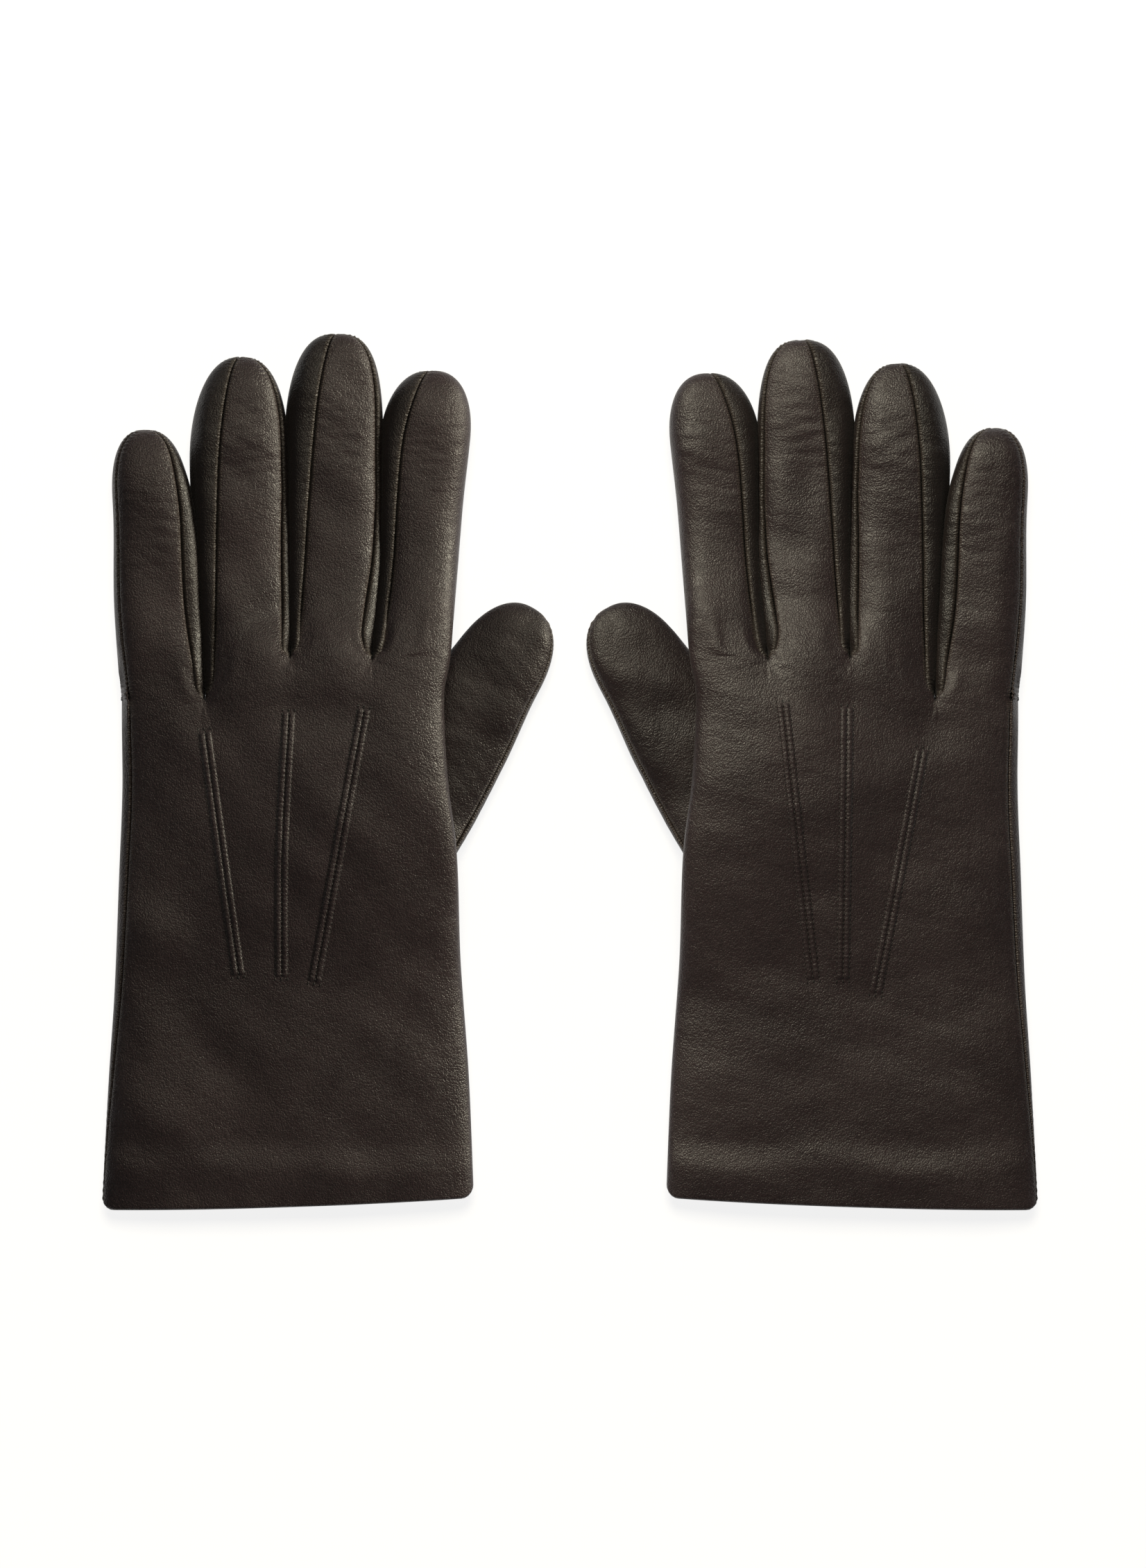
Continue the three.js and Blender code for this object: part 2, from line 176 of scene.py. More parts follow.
def surface_normals(points: np.ndarray) -> np.ndarray:
    """The unit normals of a grid of points, (rows, columns, 3)."""
    return unit(np.cross(np.gradient(points, axis=1), np.gradient(points, axis=0)))


def read_rows(at: np.ndarray, arc: np.ndarray, values: np.ndarray) -> np.ndarray:
    """Each row of values read at other places along it.

    Args:
        at: the places, (rows, columns).
        arc: where the values lie, (rows, samples).
        values: (rows, samples, 3).

    Returns:
        The values at those places, (rows, columns, 3).
    """
    result = np.empty((*at.shape, 3))
    for row in range(len(at)):
        for axis in range(3):
            result[row, :, axis] = np.interp(at[row], arc[row], values[row, :, axis])
    return result


def ripple(x: np.ndarray, y: np.ndarray, seed: int, wavelength: float, waves: int = 7) -> np.ndarray:
    """A smooth random surface, about -1 to 1, the sum of a few sine waves in seeded directions.

    Args:
        x, y: where to read it, in millimetres.
        seed: chooses the surface.
        wavelength: the typical distance between crests.
        waves: how many sine waves are added.
    """
    random = np.random.default_rng(seed)
    total = np.zeros(np.broadcast(x, y).shape)
    turns = random.uniform(0, math.pi, waves)
    phases = random.uniform(0, 2 * math.pi, waves)
    stretches = random.uniform(0.7, 1.6, waves)
    for turn, phase, stretch in zip(turns, phases, stretches):
        along = x * math.cos(turn) + y * math.sin(turn)
        total += np.sin(along * 2 * math.pi / (wavelength * stretch) + phase)
    return total / math.sqrt(waves)


# ---------------------------------------------------------------- how the gloves are cut


class Side(Enum):
    """The two gloves of the pair."""

    LEFT = "left"
    RIGHT = "right"


@dataclass(frozen=True)
class FingerCut:
    """How one finger is cut.

    stations are (y, middle x, half width). seams are the share of the half width that the back strip
    keeps on that side, at SEAM_STATIONS along the finger; None is the outside of the hand.
    """

    name: str
    stations: tuple[tuple[float, float, float], ...]
    cap: float
    blunt: float
    slope: float
    little_seam: Optional[tuple[float, ...]]
    thumb_seam: Optional[tuple[float, ...]]


SEAM_STATIONS = (0, 0.035, 0.1, 0.35, 0.7, 1)
FINGERS = (
    FingerCut(
        "little",
        ((21, -36.9, 12.5), (50, -38.5, 13), (75, -39.5, 12.2), (90, -41.2, 11.4), (102, -42.2, 11.4)),
        22, 2.4, 0, None, (1, 0.88, 0.8, 0.62, 0.66, 0.8),
    ),
    FingerCut(
        "ring",
        ((27.3, -11.5, 12.6), (50, -12.1, 13.3), (75, -13.5, 13.9), (95, -14.3, 14.15), (124, -13.7, 14)),
        31, 2.4, 0.48, (1, 0.84, 0.76, 0.6, 0.4, 0.3), (1, 0.86, 0.81, 0.82, 0.93, 0.94),
    ),
    FingerCut(
        "middle",
        ((33.2, 13.3, 12.1), (60, 14.35, 13.4), (80, 14.1, 13.8), (105, 13.9, 14), (130, 14.9, 14)),
        32, 2.7, -0.04, (1, 0.85, 0.78, 0.63, 0.4, 0.25), (1, 0.83, 0.7, 0.84, 0.97, 0.985),
    ),
    FingerCut(
        "index",
        ((32.6, 36.9, 11.6), (60, 39.2, 11.4), (80, 40.1, 12.1), (100, 41.2, 13.2), (119, 42.8, 13.1)),
        21.7, 2.4, 0, (1, 0.85, 0.75, 0.66, 0.53, 0.3), None,
    ),
)
FINGER_HEIGHT = 13.4
FINGER_ROUNDNESS = 2.6
WIDEST_SEAM = 0.9  # a fourchette always keeps this little of the side
FRONT_SHARE = 1.4  # the shares that the back and front strips keep on a side add up to this
PRESS = 0.1  # how far two neighbouring fingers press into each other, each
FLAT_BELOW = 0.9  # how much of each section's underside is pressed flat by the table
ROOT_BLEND = (4.5, 4.5, 20.0)  # the finger takes on the hand's x, y and z over these lengths at its root

CUFF_LINE = -130.0
CUFF_RISE = 3.6  # how far the cuff's edge climbs from the little finger's side to the thumb's
HEM_DEPTH = 22.0
LEATHER_THICKNESS = 0.5  # also the knit's
POINT_THICKNESS = 0.4  # of the points and the thumb's lining
LINING_GAP = 2.1  # from the leather's outer face to a finger's lining
ROOT_Y = 27.0  # where the hand's even rows stop
LITTLE_EDGE = Curve(
    [[-130, -55.3], [-92, -53.3], [-60, -51.3], [-25, -50], [0, -49.1], [21, -49.3]]
)
THUMB_EDGE = Curve(
    [[-130, 55.6], [-92, 54], [-59, 51.6], [-27, 50.5], [-6, 47.9], [18, 46.8], [33, 48.4]]
)
HAND_HEIGHT = Curve([[-130, 9.6], [-100, 12], [-60, 13.6], [0, 14.6], [34, 13.8]])
SIDE_SEAM = Curve(
    [
        [-126, 0.2], [-110, 0.5], [-90, 1.2], [-55, 2.2],
        [-11, 2.8], [23, 2.5], [45, 1.9], [80, 1.5],
    ]
)
HAND_ROUNDNESS = 2.8


@dataclass(frozen=True)
class ThumbCut:
    """The thumb, a flat pod that lies under the palm. Along is measured from base, at angle from +y."""

    base: tuple[float, float] = (28, -22)
    angle: float = math.radians(33)
    back: float = -17
    fold: float = 31
    tip: float = 84
    front_cap: float = 21
    back_cap: float = 20
    blunt: float = 2.3
    height: float = 9.6
    seam: float = math.radians(24)
    skew: float = 0.4  # how much fuller its end is towards the outer edge
    roundness: float = 1.9

    def place(self, x: np.ndarray, y: np.ndarray) -> tuple[np.ndarray, np.ndarray]:
        """Where a point of the plan lies along and across the thumb."""
        dx, dy = x - self.base[0], y - self.base[1]
        sin, cos = math.sin(self.angle), math.cos(self.angle)
        return dx * sin + dy * cos, dx * cos - dy * sin

    def plan(self, along: np.ndarray, across: np.ndarray) -> tuple[np.ndarray, np.ndarray]:
        """The point of the plan that lies so far along and across the thumb."""
        sin, cos = math.sin(self.angle), math.cos(self.angle)
        return self.base[0] + along * sin + across * cos, self.base[1] + along * cos - across * sin


THUMB = ThumbCut()
THUMB_WIDTH = Curve([[-17, 19], [10, 20], [40, 17.6], [62, 14.4], [84, 13.4]])


@dataclass(frozen=True)
class Seat:
    """Where one glove lies in the frame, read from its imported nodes."""

    side: Side
    middle: float
    turn: int
    cuff: float
    tips: dict[str, float]

    @classmethod
    def of(cls, side: Side) -> "Seat":
        """Reads a glove's place and the reach of its fingers from the frame.

        Args:
            side: which glove.

        Returns:
            Its seat.
        """
        low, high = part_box(f"{side.value}_hand_back")
        turn = 1 if side is Side.LEFT else -1
        cuff = np.array([CUFF_LINE])
        edges = (LITTLE_EDGE(cuff)[0] + THUMB_EDGE(cuff)[0]) / 2
        middle = (low[0] + high[0]) / 2 / MM - turn * edges
        tips = {cut.name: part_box(f"{side.value}_{cut.name}_back")[1][1] / MM for cut in FINGERS}
        return cls(side, middle, turn, low[1] / MM, tips)

    def carry(self, points: np.ndarray) -> np.ndarray:
        """Points of the glove's own plan, in millimetres, as points of the frame, in metres."""
        return (points * [self.turn, 1, 1] + [self.middle, 0, 0]) * MM

    def name(self, piece: str) -> str:
        """The piece's name with the glove's own in front."""
        return f"{self.side.value}_{piece}"


# ---------------------------------------------------------------- the glove's form


@dataclass(frozen=True)
class Tuck:
    """One of the points: a sewn tuck down the back, as (x, y) from its top to its cuff end."""

    name: str
    path: tuple[tuple[float, float], ...]

    def line(self, step: float) -> np.ndarray:
        """The tuck's path as points about a step apart."""
        points = np.array(self.path, float)
        length = arc_length(points)
        at = np.linspace(0, length[-1], int(length[-1] / step))
        return np.stack([Curve(np.stack([length, points[:, k]], 1))(at) for k in (0, 1)], 1)


TUCKS = {
    Side.LEFT: (
        Tuck("outer", ((-24.3, 12.7), (-19.3, -24), (-14.2, -61))),
        Tuck("middle", ((0.9, 18.3), (-1.2, -24), (-1.5, -61.5))),
        Tuck("inner", ((23.3, 19.2), (15.8, -22), (8.2, -63))),
    ),
    Side.RIGHT: (
        Tuck("outer", ((-20.5, 7.3), (-13.6, -29), (-6.5, -66.4))),
        Tuck("middle", ((2.0, 19.7), (2.6, -22), (3.1, -62.2))),
        Tuck("inner", ((21.2, 20.9), (16.6, -21), (11.8, -62.2))),
    ),
}


SWELLS = {
    Side.LEFT: (
        (-43, -48, 12, 10, 1.5), (-40, -102, 15, 12, 1.2), (38, 6, 12, 14, 0.9), (5, 17, 28, 8, -1.0),
        (-5, -75, 30, 12, 0.6), (28, -50, 14, 30, 0.5),
    ),
    Side.RIGHT: (
        (4, -4, 17, 16, 1.6), (14, 12, 10, 10, 0.8), (3, -36, 7, 26, 0.9), (-28, 12, 14, 9, -0.9),
        (-36, -40, 12, 20, 0.8), (30, -70, 16, 22, 0.6),
    ),
}


class Form:
    """The outer surface of one glove's leather, before seams and thickness."""

    PALM_LIFT = 11.2
    BACK_LIFT = 8.6
    CORNER = 3.0  # how far the cuff's edge is rounded off at its sides
    CORNER_SHARE = 0.06  # of the half width
    CROTCHES = ((-24.25, 20.9), (1.15, 33.6), (25.35, 32.7))  # where two fingers part, (x, y)
    NEAR_DIP, NEAR_REACH = 0.6, 2.4
    WIDE_DIP, WIDE_REACH = 1.1, 6.5
    PLEAT_DEPTH, PLEAT_REACH, PLEATS = 0.1, 5.5, 11
    TUCK_PULL, TUCK_REACH = 0.18, 3.4
    HEM_STEP, HEM_WAVE = 1.2, 0.35
    PALM_DIP_SHARE = 0.6

    def __init__(self, seat: Seat) -> None:
        """Takes the seat whose glove it shapes."""
        self.seat = seat
        self.seed = 11 if seat.side is Side.LEFT else 47
        self.tuck_lines = [tuck.line(2.0) for tuck in TUCKS[seat.side]]

    def palm_lift(self, x: np.ndarray, y: np.ndarray) -> np.ndarray:
        """How far the thumb holds the palm off the table."""
        along, across = THUMB.place(x, y)
        return self.PALM_LIFT * bump(along - 28, 28, 82) * bump(across, 13, 48)

    def back_lift(self, x: np.ndarray, y: np.ndarray) -> np.ndarray:
        """How far the thumb lifts the back of the hand."""
        return self.BACK_LIFT * bump(x - 46, 12, 96) * bump(y - 8, 14, 84)

    def softness(self, x: np.ndarray, y: np.ndarray) -> np.ndarray:
        """The slow rise and fall of soft leather over its lining, and its small creases."""
        slow = 0.34 * ripple(x, y, self.seed, 46) + 0.16 * ripple(x, y, self.seed + 1, 19)
        fine = 0.035 * ripple(x, y * 1.6, self.seed + 2, 7.5)
        return slow + fine

    def swells(self, x: np.ndarray, y: np.ndarray) -> np.ndarray:
        """The large soft bulges and hollows that wear has left in the back."""
        total = np.zeros(np.broadcast(x, y).shape)
        for middle_x, middle_y, reach_x, reach_y, height in SWELLS[self.seat.side]:
            away = ((x - middle_x) / reach_x) ** 2 + ((y - middle_y) / reach_y) ** 2
            total += height * np.exp(-away)
        return total

    def valleys(self, x: np.ndarray, y: np.ndarray) -> np.ndarray:
        """How deep the leather dips where two fingers part."""
        dip = np.zeros(np.broadcast(x, y).shape)
        for crotch_x, crotch_y in self.CROTCHES:
            aside = x - crotch_x
            near = self.NEAR_DIP * bell(aside, self.NEAR_REACH) * smooth(y, crotch_y - 4, crotch_y + 1)
            wide = self.WIDE_DIP * bell(aside, self.WIDE_REACH) * smooth(y, crotch_y - 20, crotch_y + 6)
            away, turn = np.hypot(aside, y - crotch_y), np.arctan2(aside, crotch_y - y)
            pleats = self.PLEAT_DEPTH * np.sin(self.PLEATS * turn + 5 * np.sin(crotch_x))
            dip += near + wide + pleats * bell(away, self.PLEAT_REACH) * smooth(away, 0.8, 2.5)
        return dip

    def tuck_pull(self, x: np.ndarray, y: np.ndarray) -> np.ndarray:
        """How far the stitched tucks draw the back's leather in on both sides."""
        pull = np.zeros(x.shape)
        for line in self.tuck_lines:
            squared_away = np.full(x.shape, 1e9)
            for px, py in line:
                squared_away = np.minimum(squared_away, (x - px) ** 2 + (y - py) ** 2)
            pull = np.maximum(pull, self.TUCK_PULL * np.exp(-squared_away / self.TUCK_REACH**2))
        return pull

    def hem_rise(self, x: np.ndarray, y: np.ndarray) -> np.ndarray:
        """The step up where the turned-in hem doubles the leather."""
        height = self.HEM_STEP + self.HEM_WAVE * ripple(x, 0 * x, self.seed + 9, 55)
        place = y - self.seat.cuff - 1.5 * ripple(x, 0 * x, self.seed + 10, 70)
        return height * (1 - smooth(place, 11, 21)) - 0.5 * height * (1 - smooth(place, 1, 12))

    def back_height(self, x: np.ndarray, y: np.ndarray) -> np.ndarray:
        """The height of the back's crown over a point of the plan."""
        plain = self.back_lift(x, y) + HAND_HEIGHT(y)
        return plain + self.hem_rise(x, y) + self.softness(x, y) + self.swells(x, y)

    def hand(self, along: np.ndarray, angle: np.ndarray, inset: float = 0.0) -> np.ndarray:
        """A point of the hand's skin.

        Args:
            along: 0 at the cuff, 1 at the roots of the fingers.
            angle: 0 at the thumb side, a right angle on the back, three on the palm.
            inset: how far inside the leather's outer face, in millimetres.

        Returns:
            The points, in the glove's own plan.
        """
        side = squared(np.cos(angle), HAND_ROUNDNESS)
        cuff = self.seat.cuff + CUFF_RISE * ((side + 1) / 2) ** 2 + self.corner(side)
        guess = mix(cuff, ROOT_Y, along)
        middle = (LITTLE_EDGE(guess) + THUMB_EDGE(guess)) / 2
        half = (THUMB_EDGE(guess) - LITTLE_EDGE(guess)) / 2 - inset
        x = middle + half * side
        y = mix(cuff, self.front_edge(x), along)
        return np.stack([x, y, self.hand_height(x, y, side, np.sin(angle) > 0, inset)], -1)

    def corner(self, side: np.ndarray) -> np.ndarray:
        """How far the cuff's edge is rounded off at its two sides."""
        t = np.clip((np.abs(side) - 1 + self.CORNER_SHARE) / self.CORNER_SHARE, 0, 1)
        return self.CORNER * (1 - np.sqrt(1 - t**2))

    def front_edge(self, x: np.ndarray) -> np.ndarray:
        """Where the hand stops and the fingers start."""
        edge = np.full(np.shape(x), FINGERS[-1].stations[0][0], float)
        for cut in reversed(FINGERS):
            y, middle, half = cut.stations[0]
            edge = np.where(x < middle + half, y + cut.slope * (x - middle), edge)
        return edge

    def hand_height(
        self, x: np.ndarray, y: np.ndarray, side: np.ndarray, on_back: np.ndarray, inset: float = 0.0
    ) -> np.ndarray:
        """The height of the hand's skin on the back or the palm."""
        up = (1 - np.minimum(np.abs(side), 1) ** HAND_ROUNDNESS) ** (1 / HAND_ROUNDNESS)
        low, high = self.palm_lift(x, y), self.back_height(x, y)
        waist = (low + high) / 2
        dip = self.valleys(x, y)
        back = waist + (high - inset - waist) * up - dip * up - self.tuck_pull(x, y)
        round_palm = waist - (waist - low - inset + FLAT_BELOW) * up
        palm = np.maximum(low + inset, round_palm) + self.PALM_DIP_SHARE * dip * up
        return np.where(on_back, back, palm)

    def root(self, x: np.ndarray, y: np.ndarray, on_back: bool) -> np.ndarray:
        """The hand's skin where a finger joins it, over points of the plan."""
        middle = (LITTLE_EDGE(y) + THUMB_EDGE(y)) / 2
        half = (THUMB_EDGE(y) - LITTLE_EDGE(y)) / 2
        z = self.hand_height(x, y, (x - middle) / half, np.full(x.shape, on_back))
        return np.stack([x, y, z], -1)

    def finger(
        self, cut: FingerCut, along: np.ndarray, angle: np.ndarray, inset: float = 0.0
    ) -> np.ndarray:
        """A point of a finger's skin, in the hand's terms, from its root, 0, to its tip, 1."""
        tip = self.seat.tips[cut.name] - inset
        root_y = cut.stations[0][0]
        station = mix(root_y, tip, along)
        end = quarter_round(np.maximum(station - tip + cut.cap, 0) / cut.cap, cut.blunt)
        half = (Curve([(y, w) for y, _, w in cut.stations])(station) + PRESS - inset) * end
        side = squared(np.cos(angle), FINGER_ROUNDNESS)
        up = squared(np.sin(angle), FINGER_ROUNDNESS)
        x = Curve([(y, m) for y, m, _ in cut.stations])(station) + half * side
        y = station + cut.slope * half * side * bump(along, 0, 0.4)
        lift = mix(self.palm_lift(x, y), self.back_lift(x, y), 0.5) * bump(along, 0, 0.75)
        soft = self.finger_softness(cut, x, y)
        crown = FINGER_HEIGHT / 2 - inset + np.where(up < 0, FLAT_BELOW, soft)
        z = lift + np.maximum(inset, FINGER_HEIGHT / 2 + crown * up * end)
        return np.stack([x, y, z], -1)

    def finger_softness(self, cut: FingerCut, x: np.ndarray, y: np.ndarray) -> np.ndarray:
        """The slow rise and fall along a finger's back, with cross creases behind the tip."""
        tip = self.seat.tips[cut.name]
        seed = self.seed + len(cut.name) * 3
        crease = 0.07 * ripple(x * 0.35, y, seed, 3.1) * bump(tip - 27 - y, 4, 22)
        return self.softness(x, y) + 0.28 * ripple(x, y, seed + 1, 21) + crease

    def thumb(self, along: np.ndarray, angle: np.ndarray, inset: float = 0.0) -> np.ndarray:
        """A point of the thumb's skin; angle 0 is its outer edge, a right angle faces the palm."""
        start, tip = THUMB.back + inset, THUMB.tip - inset
        to_front = np.maximum(along - tip + THUMB.front_cap, 0) / THUMB.front_cap
        to_back = np.maximum(start + THUMB.back_cap - along, 0) / THUMB.back_cap
        front = quarter_round(to_front, THUMB.blunt)
        rear = quarter_round(to_back, THUMB.blunt)
        across = (THUMB_WIDTH(along) - inset) * squared(np.cos(angle), FINGER_ROUNDNESS) * front * rear
        skew = 1 + THUMB.skew * np.cos(angle) * smooth(along, 20, 50)
        up = squared(np.sin(angle), THUMB.roundness) * front * rear
        up = up * np.where(np.sin(angle) > 0, skew, 1)
        x, y = THUMB.plan(along, across)
        soft = 0.3 * ripple(x, y, self.seed + 5, 17) + 0.05 * ripple(x, y, self.seed + 6, 6)
        crown = THUMB.height / 2 - inset + np.where(up < 0, FLAT_BELOW, soft)
        z = np.maximum(inset, THUMB.height / 2 + crown * up)
        sewn = self.palm_lift(x, y) - 0.5 - inset
        joined = (1 - smooth(along, 2, 26)) * smooth(np.sin(angle), -0.55, 0.1)
        return np.stack([x, y, mix(z, sewn, joined)], -1)


# ---------------------------------------------------------------- leather between seams


@dataclass
class Sheet:
    """A piece of leather before it has thickness.

    points is (rows, columns, 3) in the glove's own plan. nearness is 1 at a sewn edge and 0 from
    SEAM_REACH on, and run is the length along the seam, in millimetres; both are (rows, columns).
    """

    points: np.ndarray
    nearness: np.ndarray
    run: np.ndarray

    SEAM_REACH = 4.0

    @classmethod
    def from_edges(cls, points: np.ndarray, distance: np.ndarray, length: np.ndarray) -> "Sheet":
        """A sheet from its points, their distance from a seam and each row's length."""
        nearness = np.clip(1 - distance / cls.SEAM_REACH, 0, 1)
        return cls(points, nearness, np.broadcast_to(length[:, None], distance.shape))


@dataclass(frozen=True)
class Turn:
    """How a piece's edge turns down into a seam, at each of its rows."""

    radius: float = 0.7
    tail: float = 0.6
    gap: float = 0.09
    pucker: float = 0.1
    pitch: float = 1.2

    ARCS = (90, 64, 42, 20, 0)  # where the columns of the turned edge lie on its round, in degrees
    CREST, CREST_REACH = 0.9, 1.1  # where the puckers stand, from the seam, and how wide

    def layout(self, opening: np.ndarray, width: np.ndarray) -> tuple[np.ndarray, np.ndarray]:
        """Where the edge's columns lie, row by row.

        Args:
            opening: 0 where the seam hasn't started yet and 1 where it is fully turned in.
            width: the piece's width at each row.

        Returns:
            Distances from the seam and depths below the surface, both (rows, columns).
        """
        radius = np.minimum(self.radius, 0.2 * width)[:, None]
        angle = np.radians([90] + list(self.ARCS))
        distance = radius * (1 - np.sin(angle)) + self.gap
        depth = radius * (1 - np.cos(angle))
        depth[:, 0] += np.minimum(self.tail, 0.1 * width)
        place = np.arange(len(angle))
        plain = np.minimum(place * 0.22, 0.06 * width[:, None] * place)
        return mix(plain, distance, opening[:, None]), depth * opening[:, None]


def spread_columns(
    dense: np.ndarray, first: Turn, last: Turn, opening: np.ndarray, columns: int, seed: int
) -> Sheet:
    """Leather laid over a densely sampled surface, with its edges turned down into seams.

    Args:
        dense: the surface, (rows, samples, 3), from one edge of the piece to the other.
        first, last: how each edge is turned.
        opening: how far the seams are open at each row.
        columns: how many columns lie between the turned edges.
        seed: varies the puckers.

    Returns:
        The piece, with all its columns.
    """
    arc = arc_length(dense)
    width = arc[:, -1]
    start, start_depth = first.layout(opening, width)
    end, end_depth = last.layout(opening, width)
    share = np.linspace(0, 1, columns + 2)[1:-1]
    middle = mix(start[:, -1:], width[:, None] - end[:, -1:], share[None, :])
    at = np.concatenate([start, middle, (width[:, None] - end)[:, ::-1]], axis=1)
    depth = np.concatenate([start_depth, np.zeros_like(middle), end_depth[:, ::-1]], axis=1)
    length = arc_length(dense.mean(axis=1))
    for turn, distance, phase in ((first, at, 0.0), (last, width[:, None] - at, 1.7)):
        drift = 1.3 * ripple(length, 0 * length, seed, 9)
        wave = np.sin(2 * math.pi * length / turn.pitch + phase + drift)
        strength = turn.pucker * (1 + 0.5 * ripple(length, 0 * length, seed + 3, 5)) * opening
        depth = depth - (strength * wave)[:, None] * bell(distance - turn.CREST, turn.CREST_REACH)
    points = read_rows(at, arc, dense) - depth[..., None] * read_rows(at, arc, surface_normals(dense))
    distance = np.minimum(at, width[:, None] - at) + Sheet.SEAM_REACH * (1 - opening[:, None])
    return Sheet.from_edges(points, distance, length)


def face_normals(grid: np.ndarray) -> np.ndarray:
    """The area-weighted normal of each cell of a grid of points."""
    along, across = grid[1:, 1:] - grid[:-1, :-1], grid[1:, :-1] - grid[:-1, 1:]
    return 0.5 * np.cross(along, across)


def row_normals(grid: np.ndarray, row: int) -> np.ndarray:
    """The summed cell normals along the first (0) or last (-1) row of a grid."""
    cells = face_normals(grid)[row]
    total = np.zeros((grid.shape[1], 3))
    total[:-1] += cells
    total[1:] += cells
    return total


# ---------------------------------------------------------------- the bench: making meshes


def clear_selection() -> None:
    """Deselects everything, so that an operator acts on one new piece."""
    bpy.ops.object.select_all(action="DESELECT")


def sheet_piece(
    name: str, seat: Seat, grid: np.ndarray, closed: bool = False, sewn: Optional[Sheet] = None
) -> bpy.types.Object:
    """A grid primitive whose vertices are moved to the given points.

    Args:
        name: the piece's name.
        seat: the glove it belongs to.
        grid: its points in the glove's own plan, (rows, columns, 3).
        closed: whether the last column is sewn to the first.
        sewn: the sheet whose seams the leather's finish follows.

    Returns:
        The piece, with faces out.
    """
    clear_selection()
    rows, columns = grid.shape[:2]
    bpy.ops.mesh.primitive_grid_add(x_subdivisions=columns - 1, y_subdivisions=rows - 1, size=1)
    piece = bpy.context.object
    piece.name = piece.data.name = name
    if len(piece.data.vertices) != rows * columns:
        raise ValueError(f"{name}: the grid has {len(piece.data.vertices)} vertices, not {rows * columns}")
    points = seat.carry(grid).astype(np.float32)
    piece.data.vertices.foreach_set("co", points.ravel())
    if sewn:
        for key, values in (("seam_nearness", sewn.nearness), ("seam_run", sewn.run)):
            attribute = piece.data.attributes.new(key, "FLOAT", "POINT")
            attribute.data.foreach_set("value", np.ascontiguousarray(values, np.float32).ravel())
    piece.data.update()
    if seat.turn > 0:
        return finish_sheet(piece, closed)
    bpy.ops.object.mode_set(mode="EDIT")
    bpy.ops.mesh.select_all(action="SELECT")
    bpy.ops.mesh.flip_normals()
    bpy.ops.object.mode_set(mode="OBJECT")
    return finish_sheet(piece, closed)


def finish_sheet(piece: bpy.types.Object, closed: bool) -> bpy.types.Object:
    """Sews the piece's first and last column together if it is closed, and smooths its shading."""
    if closed:
        bpy.ops.object.mode_set(mode="EDIT")
        bpy.ops.mesh.select_all(action="SELECT")
        bpy.ops.mesh.remove_doubles(threshold=1e-6)
        bpy.ops.object.mode_set(mode="OBJECT")
    bpy.ops.object.shade_smooth()
    return piece


def thicken(piece: bpy.types.Object, thickness: float) -> bpy.types.Object:
    """Gives a sheet its thickness, inwards from its outer face."""
    clear_selection()
    piece.select_set(True)
    bpy.context.view_layer.objects.active = piece
    modifier = piece.modifiers.new("thickness", "SOLIDIFY")
    modifier.thickness = thickness * MM
    modifier.offset = -1
    bpy.ops.object.modifier_apply(modifier=modifier.name)
    return piece


def match_normals(piece: bpy.types.Object, seat: Seat, where: np.ndarray, normals: np.ndarray) -> None:
    """Shades a piece's edge as one surface with its neighbour.

    Args:
        piece: the piece.
        seat: its glove.
        where: the vertices along the edge.
        normals: the shared normal at each, in the glove's own plan.
    """
    count = len(piece.data.vertices)
    own = np.empty(count * 3, np.float32)
    piece.data.vertex_normals.foreach_get("vector", own)
    own = own.reshape(-1, 3)
    own[where] = unit(normals * [seat.turn, 1, 1])
    piece.data.normals_split_custom_set_from_vertices(own.tolist())


# ---------------------------------------------------------------- materials


def srgb(red: int, green: int, blue: int) -> tuple[float, float, float, float]:
    """A colour given as sRGB bytes, as linear light."""
    parts = (red / 255, green / 255, blue / 255)
    linear = [c / 12.92 if c <= 0.04045 else ((c + 0.055) / 1.055) ** 2.4 for c in parts]
    return (*linear, 1.0)


class Nodes:
    """A small helper that adds and links shader nodes in one tree."""

    def __init__(self, tree: bpy.types.NodeTree) -> None:
        """Takes the tree to build in."""
        self.tree = tree

    def add(self, kind: str, **inputs: object) -> bpy.types.Node:
        """A new node of a kind, with its sockets and settings given by name.

        Args:
            kind: the node's type name, without ShaderNode.
            inputs: sockets by name, with _ for a space, or the node's own settings.

        Returns:
            The node.
        """
        node = self.tree.nodes.new(f"ShaderNode{kind}")
        for key, value in inputs.items():
            if hasattr(node, key):
                setattr(node, key, value)
                continue
            place = int(key[1:]) if key[1:].isdigit() else key.replace("_", " ")
            socket = node.inputs[place]
            if isinstance(value, bpy.types.NodeSocket):
                self.tree.links.new(value, socket)
            else:
                socket.default_value = value
        return node

    def math(self, operation: str, a: object, b: object = 0.0, clamp: bool = False) -> bpy.types.NodeSocket:
        """The result of a Math node."""
        return self.add("Math", operation=operation, use_clamp=clamp, _0=a, _1=b).outputs[0]

    def link(self, output: bpy.types.NodeSocket, target: bpy.types.NodeSocket) -> None:
        """Joins an output to an input."""
        self.tree.links.new(output, target)

    def ramp(self, value: bpy.types.NodeSocket, low: float, high: float) -> bpy.types.NodeSocket:
        """The value stretched smoothly from low..high to 0..1."""
        kind = "SMOOTHSTEP"
        node = self.add("MapRange", interpolation_type=kind, Value=value, From_Min=low, From_Max=high)
        return node.outputs[0]


Sockets = bpy.types.bpy_prop_collection


